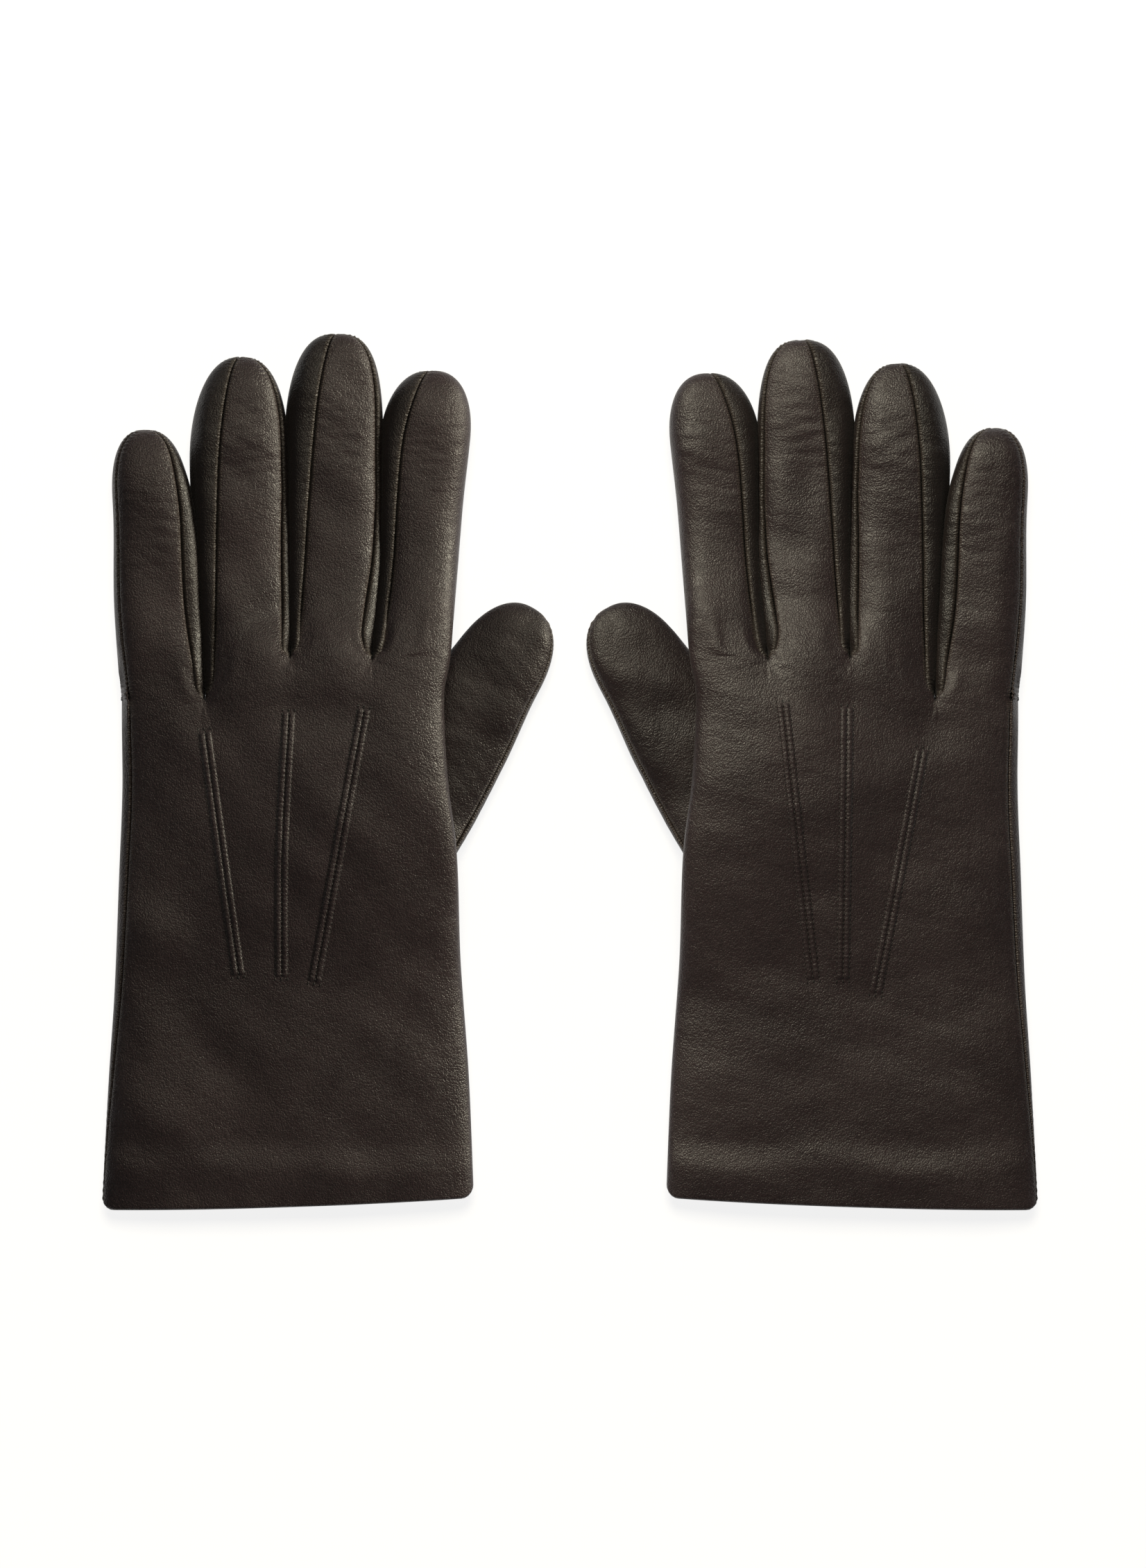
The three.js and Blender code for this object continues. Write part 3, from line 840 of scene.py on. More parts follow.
def new_group(
    name: str, inputs: dict[str, float], outputs: tuple[str, ...]
) -> tuple[bpy.types.NodeTree, Nodes, Sockets, Sockets]:
    """An empty shader node group with named sockets.

    Args:
        name: the group's name.
        inputs: float inputs and their defaults, after a vector input named Position.
        outputs: the names of its float outputs.

    Returns:
        The group, a helper for its tree, its inputs to read from and its outputs to write to.
    """
    group = bpy.data.node_groups.new(name, "ShaderNodeTree")
    group.interface.new_socket("Position", in_out="INPUT", socket_type="NodeSocketVector")
    for key, value in inputs.items():
        socket = group.interface.new_socket(key, in_out="INPUT", socket_type="NodeSocketFloat")
        socket.default_value = value
    for key in outputs:
        group.interface.new_socket(key, in_out="OUTPUT", socket_type="NodeSocketFloat")
    source = group.nodes.new("NodeGroupInput").outputs
    result = group.nodes.new("NodeGroupOutput").inputs
    return group, Nodes(group), source, result


def grain_group() -> bpy.types.NodeTree:
    """Nappa grain: small rounded pebbles parted by fine creases, and a few longer creases."""
    group, nodes, source, result = new_group(
        "nappa grain", {"Pebble": 0.85, "Crease": 0.5}, ("Height", "Valley")
    )
    scale = nodes.math("DIVIDE", 1000.0, source["Pebble"])
    flow = nodes.add("Mapping", Vector=source["Position"], Scale=(1.0, 0.86, 1.0))
    warp = nodes.add("TexNoise", Vector=flow.outputs[0], Scale=520.0, Detail=2.0)
    bent = nodes.add(
        "MixRGB", blend_type="LINEAR_LIGHT", Fac=0.0007, Color1=flow.outputs[0], Color2=warp.outputs["Color"]
    ).outputs[0]
    cells = nodes.add(
        "TexVoronoi", feature="SMOOTH_F1", Vector=bent, Scale=scale, Smoothness=0.45, Randomness=1.0
    )
    edges = nodes.add(
        "TexVoronoi", feature="DISTANCE_TO_EDGE", Vector=bent, Scale=scale, Randomness=1.0
    )
    reach = nodes.math("DIVIDE", cells.outputs["Distance"], 0.7)
    dome = nodes.math("SUBTRACT", 1.0, nodes.math("MULTIPLY", reach, reach), clamp=True)
    furrow = nodes.ramp(edges.outputs["Distance"], 0.0, 0.22)
    fine = nodes.add("TexNoise", Vector=source["Position"], Scale=3600.0, Detail=2.0)
    lines = nodes.add("TexNoise", Vector=source["Position"], Scale=150.0, Detail=3.0, Distortion=1.2)
    fold = nodes.math("ABSOLUTE", nodes.math("SUBTRACT", lines.outputs["Fac"], 0.5))
    crease = nodes.math("MULTIPLY", nodes.ramp(fold, 0.0, 0.03), source["Crease"])
    height = nodes.math("ADD", nodes.math("MULTIPLY", dome, 0.85), nodes.math("MULTIPLY", furrow, 0.08))
    height = nodes.math("ADD", height, nodes.math("MULTIPLY", fine.outputs["Fac"], 0.14))
    nodes.link(nodes.math("ADD", height, nodes.math("MULTIPLY", crease, 0.35)), result["Height"])
    # Valley is 1 in the creases; the leather darkens its colour there as painted shade, and roughens it.
    nodes.link(nodes.math("SUBTRACT", 1.0, furrow), result["Valley"])
    return group


def seam_group() -> bpy.types.NodeTree:
    """Leather gathered along a seam: fine pleats across the lip, and a mask that lightens the lip, partly as wear and
    partly as a painted highlight on the pleats' crests.
    """
    group, nodes, source, result = new_group("seam gather", {"Pleat": 0.75}, ("Height", "Lip"))
    near = nodes.add("Attribute", attribute_name="seam_nearness").outputs["Fac"]
    run = nodes.add("Attribute", attribute_name="seam_run").outputs["Fac"]
    drift = nodes.add("TexNoise", Vector=source["Position"], Scale=500.0, Detail=1.0).outputs["Fac"]
    turn = nodes.math("DIVIDE", nodes.math("MULTIPLY", run, 2 * math.pi), source["Pleat"])
    wave = nodes.math("SINE", nodes.math("ADD", turn, nodes.math("MULTIPLY", drift, 16.0)))
    lip = nodes.ramp(near, 0.64, 0.8)
    strength = nodes.math("MULTIPLY", lip, nodes.math("ADD", drift, 0.3))
    nodes.link(nodes.math("MULTIPLY", wave, strength), result["Height"])
    # The lip's mask rises and falls with the pleats: partly wear, partly a painted highlight on their crests.
    wear_and_painted_light = nodes.math("MULTIPLY", lip, nodes.math("ADD", nodes.math("MULTIPLY", wave, 0.35), 0.65))
    nodes.link(wear_and_painted_light, result["Lip"])
    return group


def tone_group() -> bpy.types.NodeTree:
    """The slow change of tone and polish over a hide."""
    group, nodes, source, result = new_group("hide tone", {"Patch": 38.0}, ("Tone", "Polish"))
    scale = nodes.math("DIVIDE", 1000.0, source["Patch"])
    slow = nodes.add("TexNoise", Vector=source["Position"], Scale=scale, Detail=4.0, Roughness=0.6)
    faster = nodes.math("MULTIPLY", scale, 7.0)
    quick = nodes.add("TexNoise", Vector=source["Position"], Scale=faster, Detail=3.0)
    nodes.link(nodes.ramp(slow.outputs["Fac"], 0.3, 0.7), result["Tone"])
    halves = [nodes.math("MULTIPLY", noise.outputs["Fac"], 0.5) for noise in (slow, quick)]
    nodes.link(nodes.ramp(nodes.math("ADD", *halves), 0.35, 0.65), result["Polish"])
    return group


@dataclass(frozen=True)
class Leather:
    """A dyed and lightly polished glove leather, with painted shade in its grain's creases and a lighter seam lip that
    is partly wear and partly a painted highlight.
    """

    name: str
    light: tuple[int, int, int] = (54, 41, 43)
    dark: tuple[int, int, int] = (43, 31, 33)
    roughness: float = 0.38
    grain: float = 0.00008
    pebble: float = 0.48
    crease: float = 0.5
    pleat: float = 0.00007
    # the seam lips' lighter colour, partly wear and partly a painted highlight, and how strongly it is mixed in
    wear_and_painted_light: tuple[int, int, int] = (88, 78, 68)
    lip_wear_and_highlight_share: float = 0.28
    # painted shade: the colour that the grain's creases are darkened towards, and how strongly
    valley: tuple[int, int, int] = (110, 100, 96)
    painted_crease_shade_share: float = 0.75

    def make(
        self, grain: bpy.types.NodeTree, seam: bpy.types.NodeTree, tone: bpy.types.NodeTree
    ) -> bpy.types.Material:
        """Builds the material from the shared grain, seam and tone groups."""
        material, nodes, shader = new_material(self.name)
        position = nodes.add("TexCoord").outputs["Object"]
        skin = nodes.add(
            "Group", node_tree=grain, Position=position, Pebble=self.pebble, Crease=self.crease
        )
        hide = nodes.add("Group", node_tree=tone, Position=position)
        sewn = nodes.add("Group", node_tree=seam, Position=position)
        colour = nodes.add(
            "MixRGB", Fac=hide.outputs["Tone"], Color1=srgb(*self.dark), Color2=srgb(*self.light)
        )
        # Painted shade: the colour is darkened in the grain's creases.
        shade = nodes.math("MULTIPLY", skin.outputs["Valley"], self.painted_crease_shade_share)
        wear_and_painted_light = nodes.add(
            "MixRGB", blend_type="MULTIPLY", Fac=shade, Color1=colour.outputs[0], Color2=srgb(*self.valley)
        )
        rough = nodes.math("ADD", self.roughness - 0.05, nodes.math("MULTIPLY", hide.outputs["Polish"], 0.1))
        rough = nodes.math("ADD", rough, nodes.math("MULTIPLY", skin.outputs["Valley"], 0.12))
        relief = nodes.add("Bump", Strength=1.0, Distance=self.grain, Height=skin.outputs["Height"])
        relief = nodes.add(
            "Bump", Distance=self.pleat, Height=sewn.outputs["Height"], Normal=relief.outputs[0]
        )
        # Lighter seam lips: partly wear, partly a painted highlight.
        lip_wear_and_highlight = nodes.math("MULTIPLY", sewn.outputs["Lip"], self.lip_wear_and_highlight_share)
        wear_and_painted_light = nodes.add("MixRGB", Fac=lip_wear_and_highlight, Color1=wear_and_painted_light.outputs[0], Color2=srgb(*self.wear_and_painted_light))
        nodes.link(wear_and_painted_light.outputs[0], shader.inputs["Base Color"])
        nodes.link(rough, shader.inputs["Roughness"])
        nodes.link(relief.outputs[0], shader.inputs["Normal"])
        shader.inputs["Specular IOR Level"].default_value = 0.5
        shader.inputs["Sheen Weight"].default_value = 0.06
        shader.inputs["Sheen Roughness"].default_value = 0.5
        return material


@dataclass(frozen=True)
class Knit:
    """A brushed knit lining: ribs of small loops under a matt nap."""

    name: str
    colour: tuple[int, int, int] = (66, 58, 50)
    rib: float = 1.1

    def make(self) -> bpy.types.Material:
        """Builds the material."""
        material, nodes, shader = new_material(self.name)
        position = nodes.add("TexCoord").outputs["Object"]
        wale, course = (
            nodes.add(
                "TexWave", bands_direction=way, Vector=position, Scale=scale / self.rib, Distortion=waver
            )
            for way, scale, waver in (("X", 314.0, 0.6), ("Y", 420.0, 0.9))
        )
        nap = nodes.add("TexNoise", Vector=position, Scale=2600.0, Detail=3.0)
        loops = nodes.math("MULTIPLY", wale.outputs["Fac"], course.outputs["Fac"])
        height = nodes.math("ADD", loops, nodes.math("MULTIPLY", nap.outputs["Fac"], 0.6))
        base = srgb(*self.colour)
        # Painted shade between the loops: the colour falls to half where the loops' relief is low.
        dark = tuple(c * 0.5 for c in base[:3]) + (1.0,)
        colour = nodes.add("MixRGB", Fac=nodes.ramp(height, 0.2, 1.2), Color1=dark, Color2=base)
        relief = nodes.add("Bump", Strength=0.8, Distance=0.0002, Height=height)
        nodes.link(colour.outputs[0], shader.inputs["Base Color"])
        nodes.link(relief.outputs[0], shader.inputs["Normal"])
        shader.inputs["Roughness"].default_value = 0.95
        shader.inputs["Sheen Weight"].default_value = 0.4
        return material


@dataclass(frozen=True)
class Thread:
    """A waxed sewing thread, with the twist of its plies."""

    name: str
    colour: tuple[int, int, int] = (18, 15, 14)

    def make(self) -> bpy.types.Material:
        """Builds the material."""
        material, nodes, shader = new_material(self.name)
        position = nodes.add("TexCoord").outputs["Object"]
        twist = nodes.add("TexWave", bands_direction="DIAGONAL", Vector=position, Scale=900.0)
        base = srgb(*self.colour)
        # Painted highlight on the plies: the colour is lighter where the twist's relief stands high.
        light = tuple(c * 1.8 for c in base[:3]) + (1.0,)
        colour = nodes.add("MixRGB", Fac=twist.outputs["Fac"], Color1=base, Color2=light)
        relief = nodes.add("Bump", Strength=0.5, Distance=0.00005, Height=twist.outputs["Fac"])
        nodes.link(colour.outputs[0], shader.inputs["Base Color"])
        nodes.link(relief.outputs[0], shader.inputs["Normal"])
        shader.inputs["Roughness"].default_value = 0.5
        return material


def new_material(name: str) -> tuple[bpy.types.Material, Nodes, bpy.types.Node]:
    """A material with only its Principled BSDF and output.

    Returns:
        The material, a helper for its tree, and the shader.
    """
    material = bpy.data.materials.new(name)
    material.use_nodes = True
    shader = material.node_tree.nodes["Principled BSDF"]
    return material, Nodes(material.node_tree), shader


class Finishes:
    """The pair's materials, each made once."""

    def __init__(self) -> None:
        """Builds the shared groups and every material."""
        groups = grain_group(), seam_group(), tone_group()
        self.trank = Leather("trank_nappa").make(*groups)
        # The fourchettes' leather is a darker copy of the trank's: painted shade between the fingers.
        self.fourchette = Leather("fourchette_nappa", (38, 28, 26), (29, 21, 19)).make(*groups)
        # The thumb's leather is a darker copy too: painted shade where the thumb lies low beside the hand.
        self.thumb = Leather("thumb_nappa", (40, 27, 28), (31, 20, 21)).make(*groups)
        self.hem = Leather("hem_nappa", roughness=0.42).make(*groups)
        self.knit = Knit("lining_knit").make()
        self.thread = Thread("waxed_thread").make()


def dress(piece: bpy.types.Object, material: bpy.types.Material) -> bpy.types.Object:
    """Gives a piece its material."""
    piece.data.materials.clear()
    piece.data.materials.append(material)
    return piece


# ---------------------------------------------------------------- the parts of a glove


@dataclass
class Fineness:
    """How finely the leather is divided, in millimetres and columns."""

    finger_step: float = 0.5
    hand_step: float = 1.0
    strip_columns: int = 15
    band_columns: int = 11
    samples: int = 140

    @classmethod
    def chosen(cls) -> "Fineness":
        return cls()


@dataclass
class FingerPart:
    """One finger of a glove: its back and front leather, its fourchettes, lining and tip seam."""

    form: Form
    cut: FingerCut
    finishes: Finishes
    fineness: Fineness

    TIP_STOP = 0.05  # the leather stops this far short of the tip, where the tip seam closes it
    END_CROWDING = 0.7  # how much closer the rows lie at the root and the tip
    BAND_SWELL = 0.8  # how far a fourchette bulges between its seam and the next finger
    SLOPE_CHANGE = 0.12  # the most that the finger's slope is changed at its root
    SLOPE_REACH = 14.0  # the finger keeps the hand's slope over this length
    BEND_REACH = 24.0  # how far from the root the finger's bend was worked out to reach; no bend is applied

    def __post_init__(self) -> None:
        """Works out the finger's stations and seam angles."""
        self.seat = self.form.seat
        self.root_y = self.cut.stations[0][0]
        self.length = self.seat.tips[self.cut.name] - self.root_y
        rows = int(self.length / self.fineness.finger_step)
        spread = np.linspace(0, 1, rows)
        spread = spread - self.END_CROWDING * np.sin(2 * math.pi * spread) / (2 * math.pi)
        self.along = spread * (1 - self.TIP_STOP / self.length)
        self.opening = smooth(self.along * self.length, 0, 2.0)
        self.thumb_angles = self.seam_angles(self.cut.thumb_seam)
        self.little_angles = self.seam_angles(self.cut.little_seam)
        self.sheets: dict[str, Sheet] = {}

    def seam_angles(self, shares: Optional[tuple[float, ...]]) -> tuple[np.ndarray, np.ndarray]:
        """How far above and below its side a seam lies, row by row; for the outside, the side seam."""
        if shares is None:
            station = self.root_y + self.along * self.length
            half = Curve([(y, w) for y, _, w in self.cut.stations])(station)
            share = 1 - SIDE_SEAM(station) / half
            above = np.arccos(np.clip(share, 0, 1) ** (FINGER_ROUNDNESS / 2))
            return above, -above
        share = Curve(list(zip(SEAM_STATIONS, shares)))(self.along)
        above = np.arccos(np.minimum(share, WIDEST_SEAM) ** (FINGER_ROUNDNESS / 2))
        front = mix(1.0, FRONT_SHARE - share, smooth(self.along, 0, 0.15))
        below = np.arccos(np.minimum(front, WIDEST_SEAM) ** (FINGER_ROUNDNESS / 2))
        return above, below

    def start_on_hand(self, skin: np.ndarray, root: np.ndarray, slope: np.ndarray, on_back: np.ndarray) -> np.ndarray:
        """The skin, (rows, samples, 3), moved to start at the hand's edge, height for height, and at its slope."""
        away = self.along * self.length
        own = (skin[1, :, 2] - skin[0, :, 2]) / away[1]
        fade = self.root_fade(self.along)
        start = skin + (root - skin[0])[None] * fade * [1, 1, 0]
        for face in (on_back, ~on_back):
            if face.sum() > 1:
                old, new = skin[0, face], root[face]
                old, new = old[np.argsort(old[:, 0])], new[np.argsort(new[:, 0])]
                drop = new[:, 2] - np.interp(new[:, 0], old[:, 0], old[:, 2])
                shift = np.interp(start[:, face, 0], new[:, 0], drop)
                rest = root[face, 2] - skin[0, face, 2] - shift[0]
                straight = 1 - smooth(np.abs(root[face, 0] - skin[0, face, 0]), 0, 0.25)
                plain = (root[face, 2] - skin[0, face, 2]) * fade[..., 2]
                start[:, face, 2] += mix(shift * fade[..., 2] + rest * fade[..., 0], plain, straight)
        change = np.clip(slope - own, -self.SLOPE_CHANGE, self.SLOPE_CHANGE)
        start[..., 2] += change * (away * (1 - smooth(away, 0, self.SLOPE_REACH)))[:, None]
        start[..., 2] = np.maximum(start[..., 2], 0)
        return start

    def hand_slope(self, root: np.ndarray, on_back: bool) -> np.ndarray:
        """How the hand's skin rises towards the fingertips at the points of a root line."""
        behind = self.form.root(root[:, 0], root[:, 1] - 1, on_back)
        return self.form.root(root[:, 0], root[:, 1], on_back)[:, 2] - behind[:, 2]

    def surface(
        self, first: np.ndarray, last: np.ndarray, root: np.ndarray, on_back: Optional[bool] = None
    ) -> np.ndarray:
        """A dense strip of the finger's skin that starts from a line on the hand.

        Args:
            first, last: the strip's edges as angles, row by row.
            root: where its first row lies, (samples, 3).
            on_back: whether it goes on from the back or the palm, or None for a band between them.
        """
        share = np.linspace(0, 1, self.fineness.samples)
        angle = mix(first[:, None], last[:, None], share[None, :])
        skin = self.form.finger(self.cut, self.along[:, None], angle)
        if on_back is None:
            return skin + (root - skin[0])[None] * self.root_fade(self.along)
        return self.start_on_hand(skin, root, self.hand_slope(root, on_back), np.full(len(root), on_back))

    def root_fade(self, along: np.ndarray) -> np.ndarray:
        """How far x, y and z still follow the hand, (rows, 1, 3)."""
        return np.stack([1 - smooth(along * self.length, 0, reach) for reach in ROOT_BLEND], -1)[:, None]

    def root_line(self, first: np.ndarray, last: np.ndarray, on_back: bool, edges: tuple[bool, bool]) -> np.ndarray:
        """Where a back or front strip starts on the hand.

        Args:
            first, last: the strip's edges as angles at the root.
            on_back: whether it is a back strip.
            edges: whether each edge is a crotch, where the strip reaches the finger's full width.
        """
        y0, middle, half = self.cut.stations[0]
        share = np.linspace(0, 1, self.fineness.samples)
        side = squared(np.cos(mix(first, last, share)), FINGER_ROUNDNESS)
        ends = [np.sign(s) if crotch else s for s, crotch in zip((side[0], side[-1]), edges)]
        side = mix(ends[0], ends[1], (side - side[0]) / (side[-1] - side[0])) if True in edges else side
        x = middle + half * side
        return self.form.root(x, y0 + self.cut.slope * (x - middle), on_back)

    def build(self) -> None:
        """Makes every grid of the finger."""
        above_t, below_t = self.thumb_angles
        above_l, below_l = self.little_angles
        turn = Turn()
        strip, band = self.fineness.strip_columns, self.fineness.band_columns
        seed = self.form.seed + 7 * len(self.cut.name)
        if self.cut.thumb_seam is None:
            self.build_wrapped(turn, strip, seed)
            return
        outside = self.cut.little_seam is None
        back_first = math.pi - above_l
        root = self.root_line(back_first[0], above_t[0], True, (not outside, True))
        dense = self.surface(back_first, above_t, root, True)
        self.sheets["back"] = self.lay(dense, turn, turn, strip, seed)
        front_last = -math.pi + (-above_l if outside else below_l)
        front_root = self.root_line(-below_t[0], front_last[0], False, (True, not outside))
        front_dense = self.surface(-below_t, front_last, front_root, False)
        if outside:
            front_dense = self.join_outer(dense, front_dense)
        self.sheets["front"] = self.lay(front_dense, turn, turn, strip, seed + 1)
        ends = dense[0, -1], front_dense[0, 0]
        self.build_band("fourchette_thumb_side", above_t, -below_t, *ends, band, seed + 2)
        if not outside:
            first, last = math.pi + below_l, math.pi - above_l
            ends = front_dense[0, -1], dense[0, 0]
            self.build_band("fourchette_little_side", first, last, *ends, band, seed + 3)

    def join_outer(self, back: np.ndarray, front: np.ndarray) -> np.ndarray:
        """The outer edge of the front strip, laid exactly along the back strip's edge."""
        share = smooth(np.linspace(0, 1, front.shape[1]), 0.82, 1.0)
        gap = back[:, 0] - front[:, -1]
        return front + gap[:, None] * share[None, :, None]

    def build_wrapped(self, turn: Turn, strip: int, seed: int) -> None:
        """The index's leather, which wraps from back to front round its folded outer side."""
        above, below = self.little_angles
        first, last = math.pi - above, -math.pi + below
        samples = self.fineness.samples
        share = np.linspace(0, 1, 2 * samples)
        angle = mix(first[:, None], last[:, None], share[None, :])
        skin = self.form.finger(self.cut, self.along[:, None], angle)
        y0, middle, half = self.cut.stations[0]
        side = squared(np.cos(angle[0]), FINGER_ROUNDNESS)
        side = np.where(side < 0, side / max(abs(side[0]), 1e-6) if abs(side[0]) > 0 else side, side)
        side = np.clip(side, -1, 1)
        x = middle + half * side
        y = y0 + self.cut.slope * (x - middle)
        top, bottom = self.form.root(x, y, True), self.form.root(x, y, False)
        on_back = angle[0] > 0
        root = np.where(on_back[:, None], top, bottom)
        slope = np.where(on_back, self.hand_slope(root, True), self.hand_slope(root, False))
        dense = self.start_on_hand(skin, root, slope, on_back)
        self.sheets["wrap"] = self.lay(dense, turn, turn, 2 * strip + 6, seed)
        first, last = math.pi + below, math.pi - above
        self.build_band(
            "fourchette_little_side", first, last, dense[0, -1], dense[0, 0], self.fineness.band_columns, seed + 3
        )

    def build_band(
        self, key: str, first: np.ndarray, last: np.ndarray, start: np.ndarray, end: np.ndarray, columns: int, seed: int
    ) -> None:
        """A fourchette, from the line where two fingers part to the tip."""
        share = np.linspace(0, 1, self.fineness.samples)
        root = mix(start[None], end[None], share[:, None])
        dense = self.surface(first, last, root)
        outward = unit(np.cross(np.gradient(dense, axis=1), np.gradient(dense, axis=0)))
        swell = self.BAND_SWELL * np.abs(np.sin(2 * math.pi * share)) * smooth(self.along * self.length, 1, 6)[:, None]
        dense = dense + outward * (swell * bump(self.along, 0.55, 1.0)[:, None])[..., None]
        turn = Turn(radius=0.9, pucker=0.12)
        self.sheets[key] = self.lay(dense, turn, turn, columns, seed)

    def lay(self, dense: np.ndarray, first: Turn, last: Turn, columns: int, seed: int) -> Sheet:
        """Lays leather over a dense strip, with seams that open from the root."""
        return spread_columns(dense, first, last, self.opening, columns, seed)

    def bend(self, piece: bpy.types.Object) -> bpy.types.Object:
        """Works out where the finger's bend would start and end, but only bakes the piece's placement into its mesh."""
        y0, middle, _ = self.cut.stations[0]
        direction = unit(np.array([-self.cut.slope, 1.0, 0.0]))
        start = np.array([middle, y0 + 0.4, 0.0])
        low, high = self.seat.carry(np.stack([start, start + direction * self.BEND_REACH]))
        self.seat.name("hand")
        self.seat.name(self.cut.name)
        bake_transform(piece)
        return piece

    def make(self, hand_rows: dict[str, np.ndarray]) -> None:
        """Turns the grids into pieces.

        Args:
            hand_rows: the summed normals of the hand's last row under each strip.
        """
        finger = self.seat.name(self.cut.name)
        for key, sheet in self.sheets.items():
            band = key.startswith("fourchette")
            piece = sheet_piece(f"{finger}_{key}_leather", self.seat, sheet.points, sewn=sheet)
            thicken(piece, LEATHER_THICKNESS)
            if key in hand_rows:
                shared = row_normals(sheet.points, 0) + hand_rows[key]
                match_normals(piece, self.seat, np.arange(sheet.points.shape[1]), shared)
            # Fourchettes take the darker copy of the leather, painted shade between the fingers.
            material = self.finishes.fourchette if band else self.finishes.trank
            dress(piece, material)
            nodes = [f"{finger}_back", f"{finger}_front"] if key == "wrap" else [f"{finger}_{key}"]
            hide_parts(*nodes)
            self.bend(piece)
        self.make_lining(finger)
        self.make_tip_seam(finger)

    def make_lining(self, finger: str) -> None:
        """The finger's tube of knit, closed at its tip."""
        along = (1 - (1 - np.linspace(0, 1, 40)) ** 1.6) * 0.999 + 0.001
        angle = np.linspace(math.pi, -math.pi, 33)
        skin = self.form.finger(self.cut, along[:, None], angle[None, :], LINING_GAP)
        top, bottom = (self.form.root(skin[0, :, 0], skin[0, :, 1], on_back)[:, 2] for on_back in (True, False))
        waist = (top + bottom) / 2
        room = np.maximum((top - bottom) / 2 - LINING_GAP, 0)
        drop = np.where(angle > 0, waist + room, waist - room) - skin[0, :, 2]
        skin[..., 2] += drop * self.root_fade(along)[..., 2]
        piece = thicken(sheet_piece(f"{finger}_lining_knit", self.seat, skin, closed=True), LEATHER_THICKNESS)
        dress(piece, self.finishes.knit)
        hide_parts(f"{finger}_lining")
        self.bend(piece)

    def make_tip_seam(self, finger: str) -> None:
        """The short puckered seam that closes the fingertip."""
        reach = 5.2
        across = np.linspace(-reach, reach, 72)
        tip = self.seat.tips[self.cut.name]
        middle = Curve([(y, m) for y, m, _ in self.cut.stations])(np.array([tip]))[0]
        half = self.cut.stations[-1][2]
        setback = self.cut.cap * (1 - (1 - np.minimum(np.abs(across) / half, 1) ** self.cut.blunt) ** (1 / self.cut.blunt))
        ends = np.sqrt(np.clip(1 - (across / reach) ** 6, 0, 1))
        pleat = 1 + 0.13 * np.sin(across * 2 * math.pi / 1.2 + 1.2 * ripple(across, 0 * across, 5, 4))
        radius = 0.55 * ends * pleat
        around = np.linspace(0, -2 * math.pi, 15)
        y = tip - 0.75 - setback
        grid = np.empty((len(across), len(around), 3))
        grid[..., 0] = middle + across[:, None]
        grid[..., 1] = y[:, None] + 1.15 * radius[:, None] * np.cos(around)
        grid[..., 2] = FINGER_HEIGHT / 2 + 0.2 + 2.6 * radius[:, None] * np.sin(around)
        piece = sheet_piece(f"{finger}_tip_seam", self.seat, grid, closed=True)
        dress(piece, self.finishes.trank)
        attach(piece, finger)


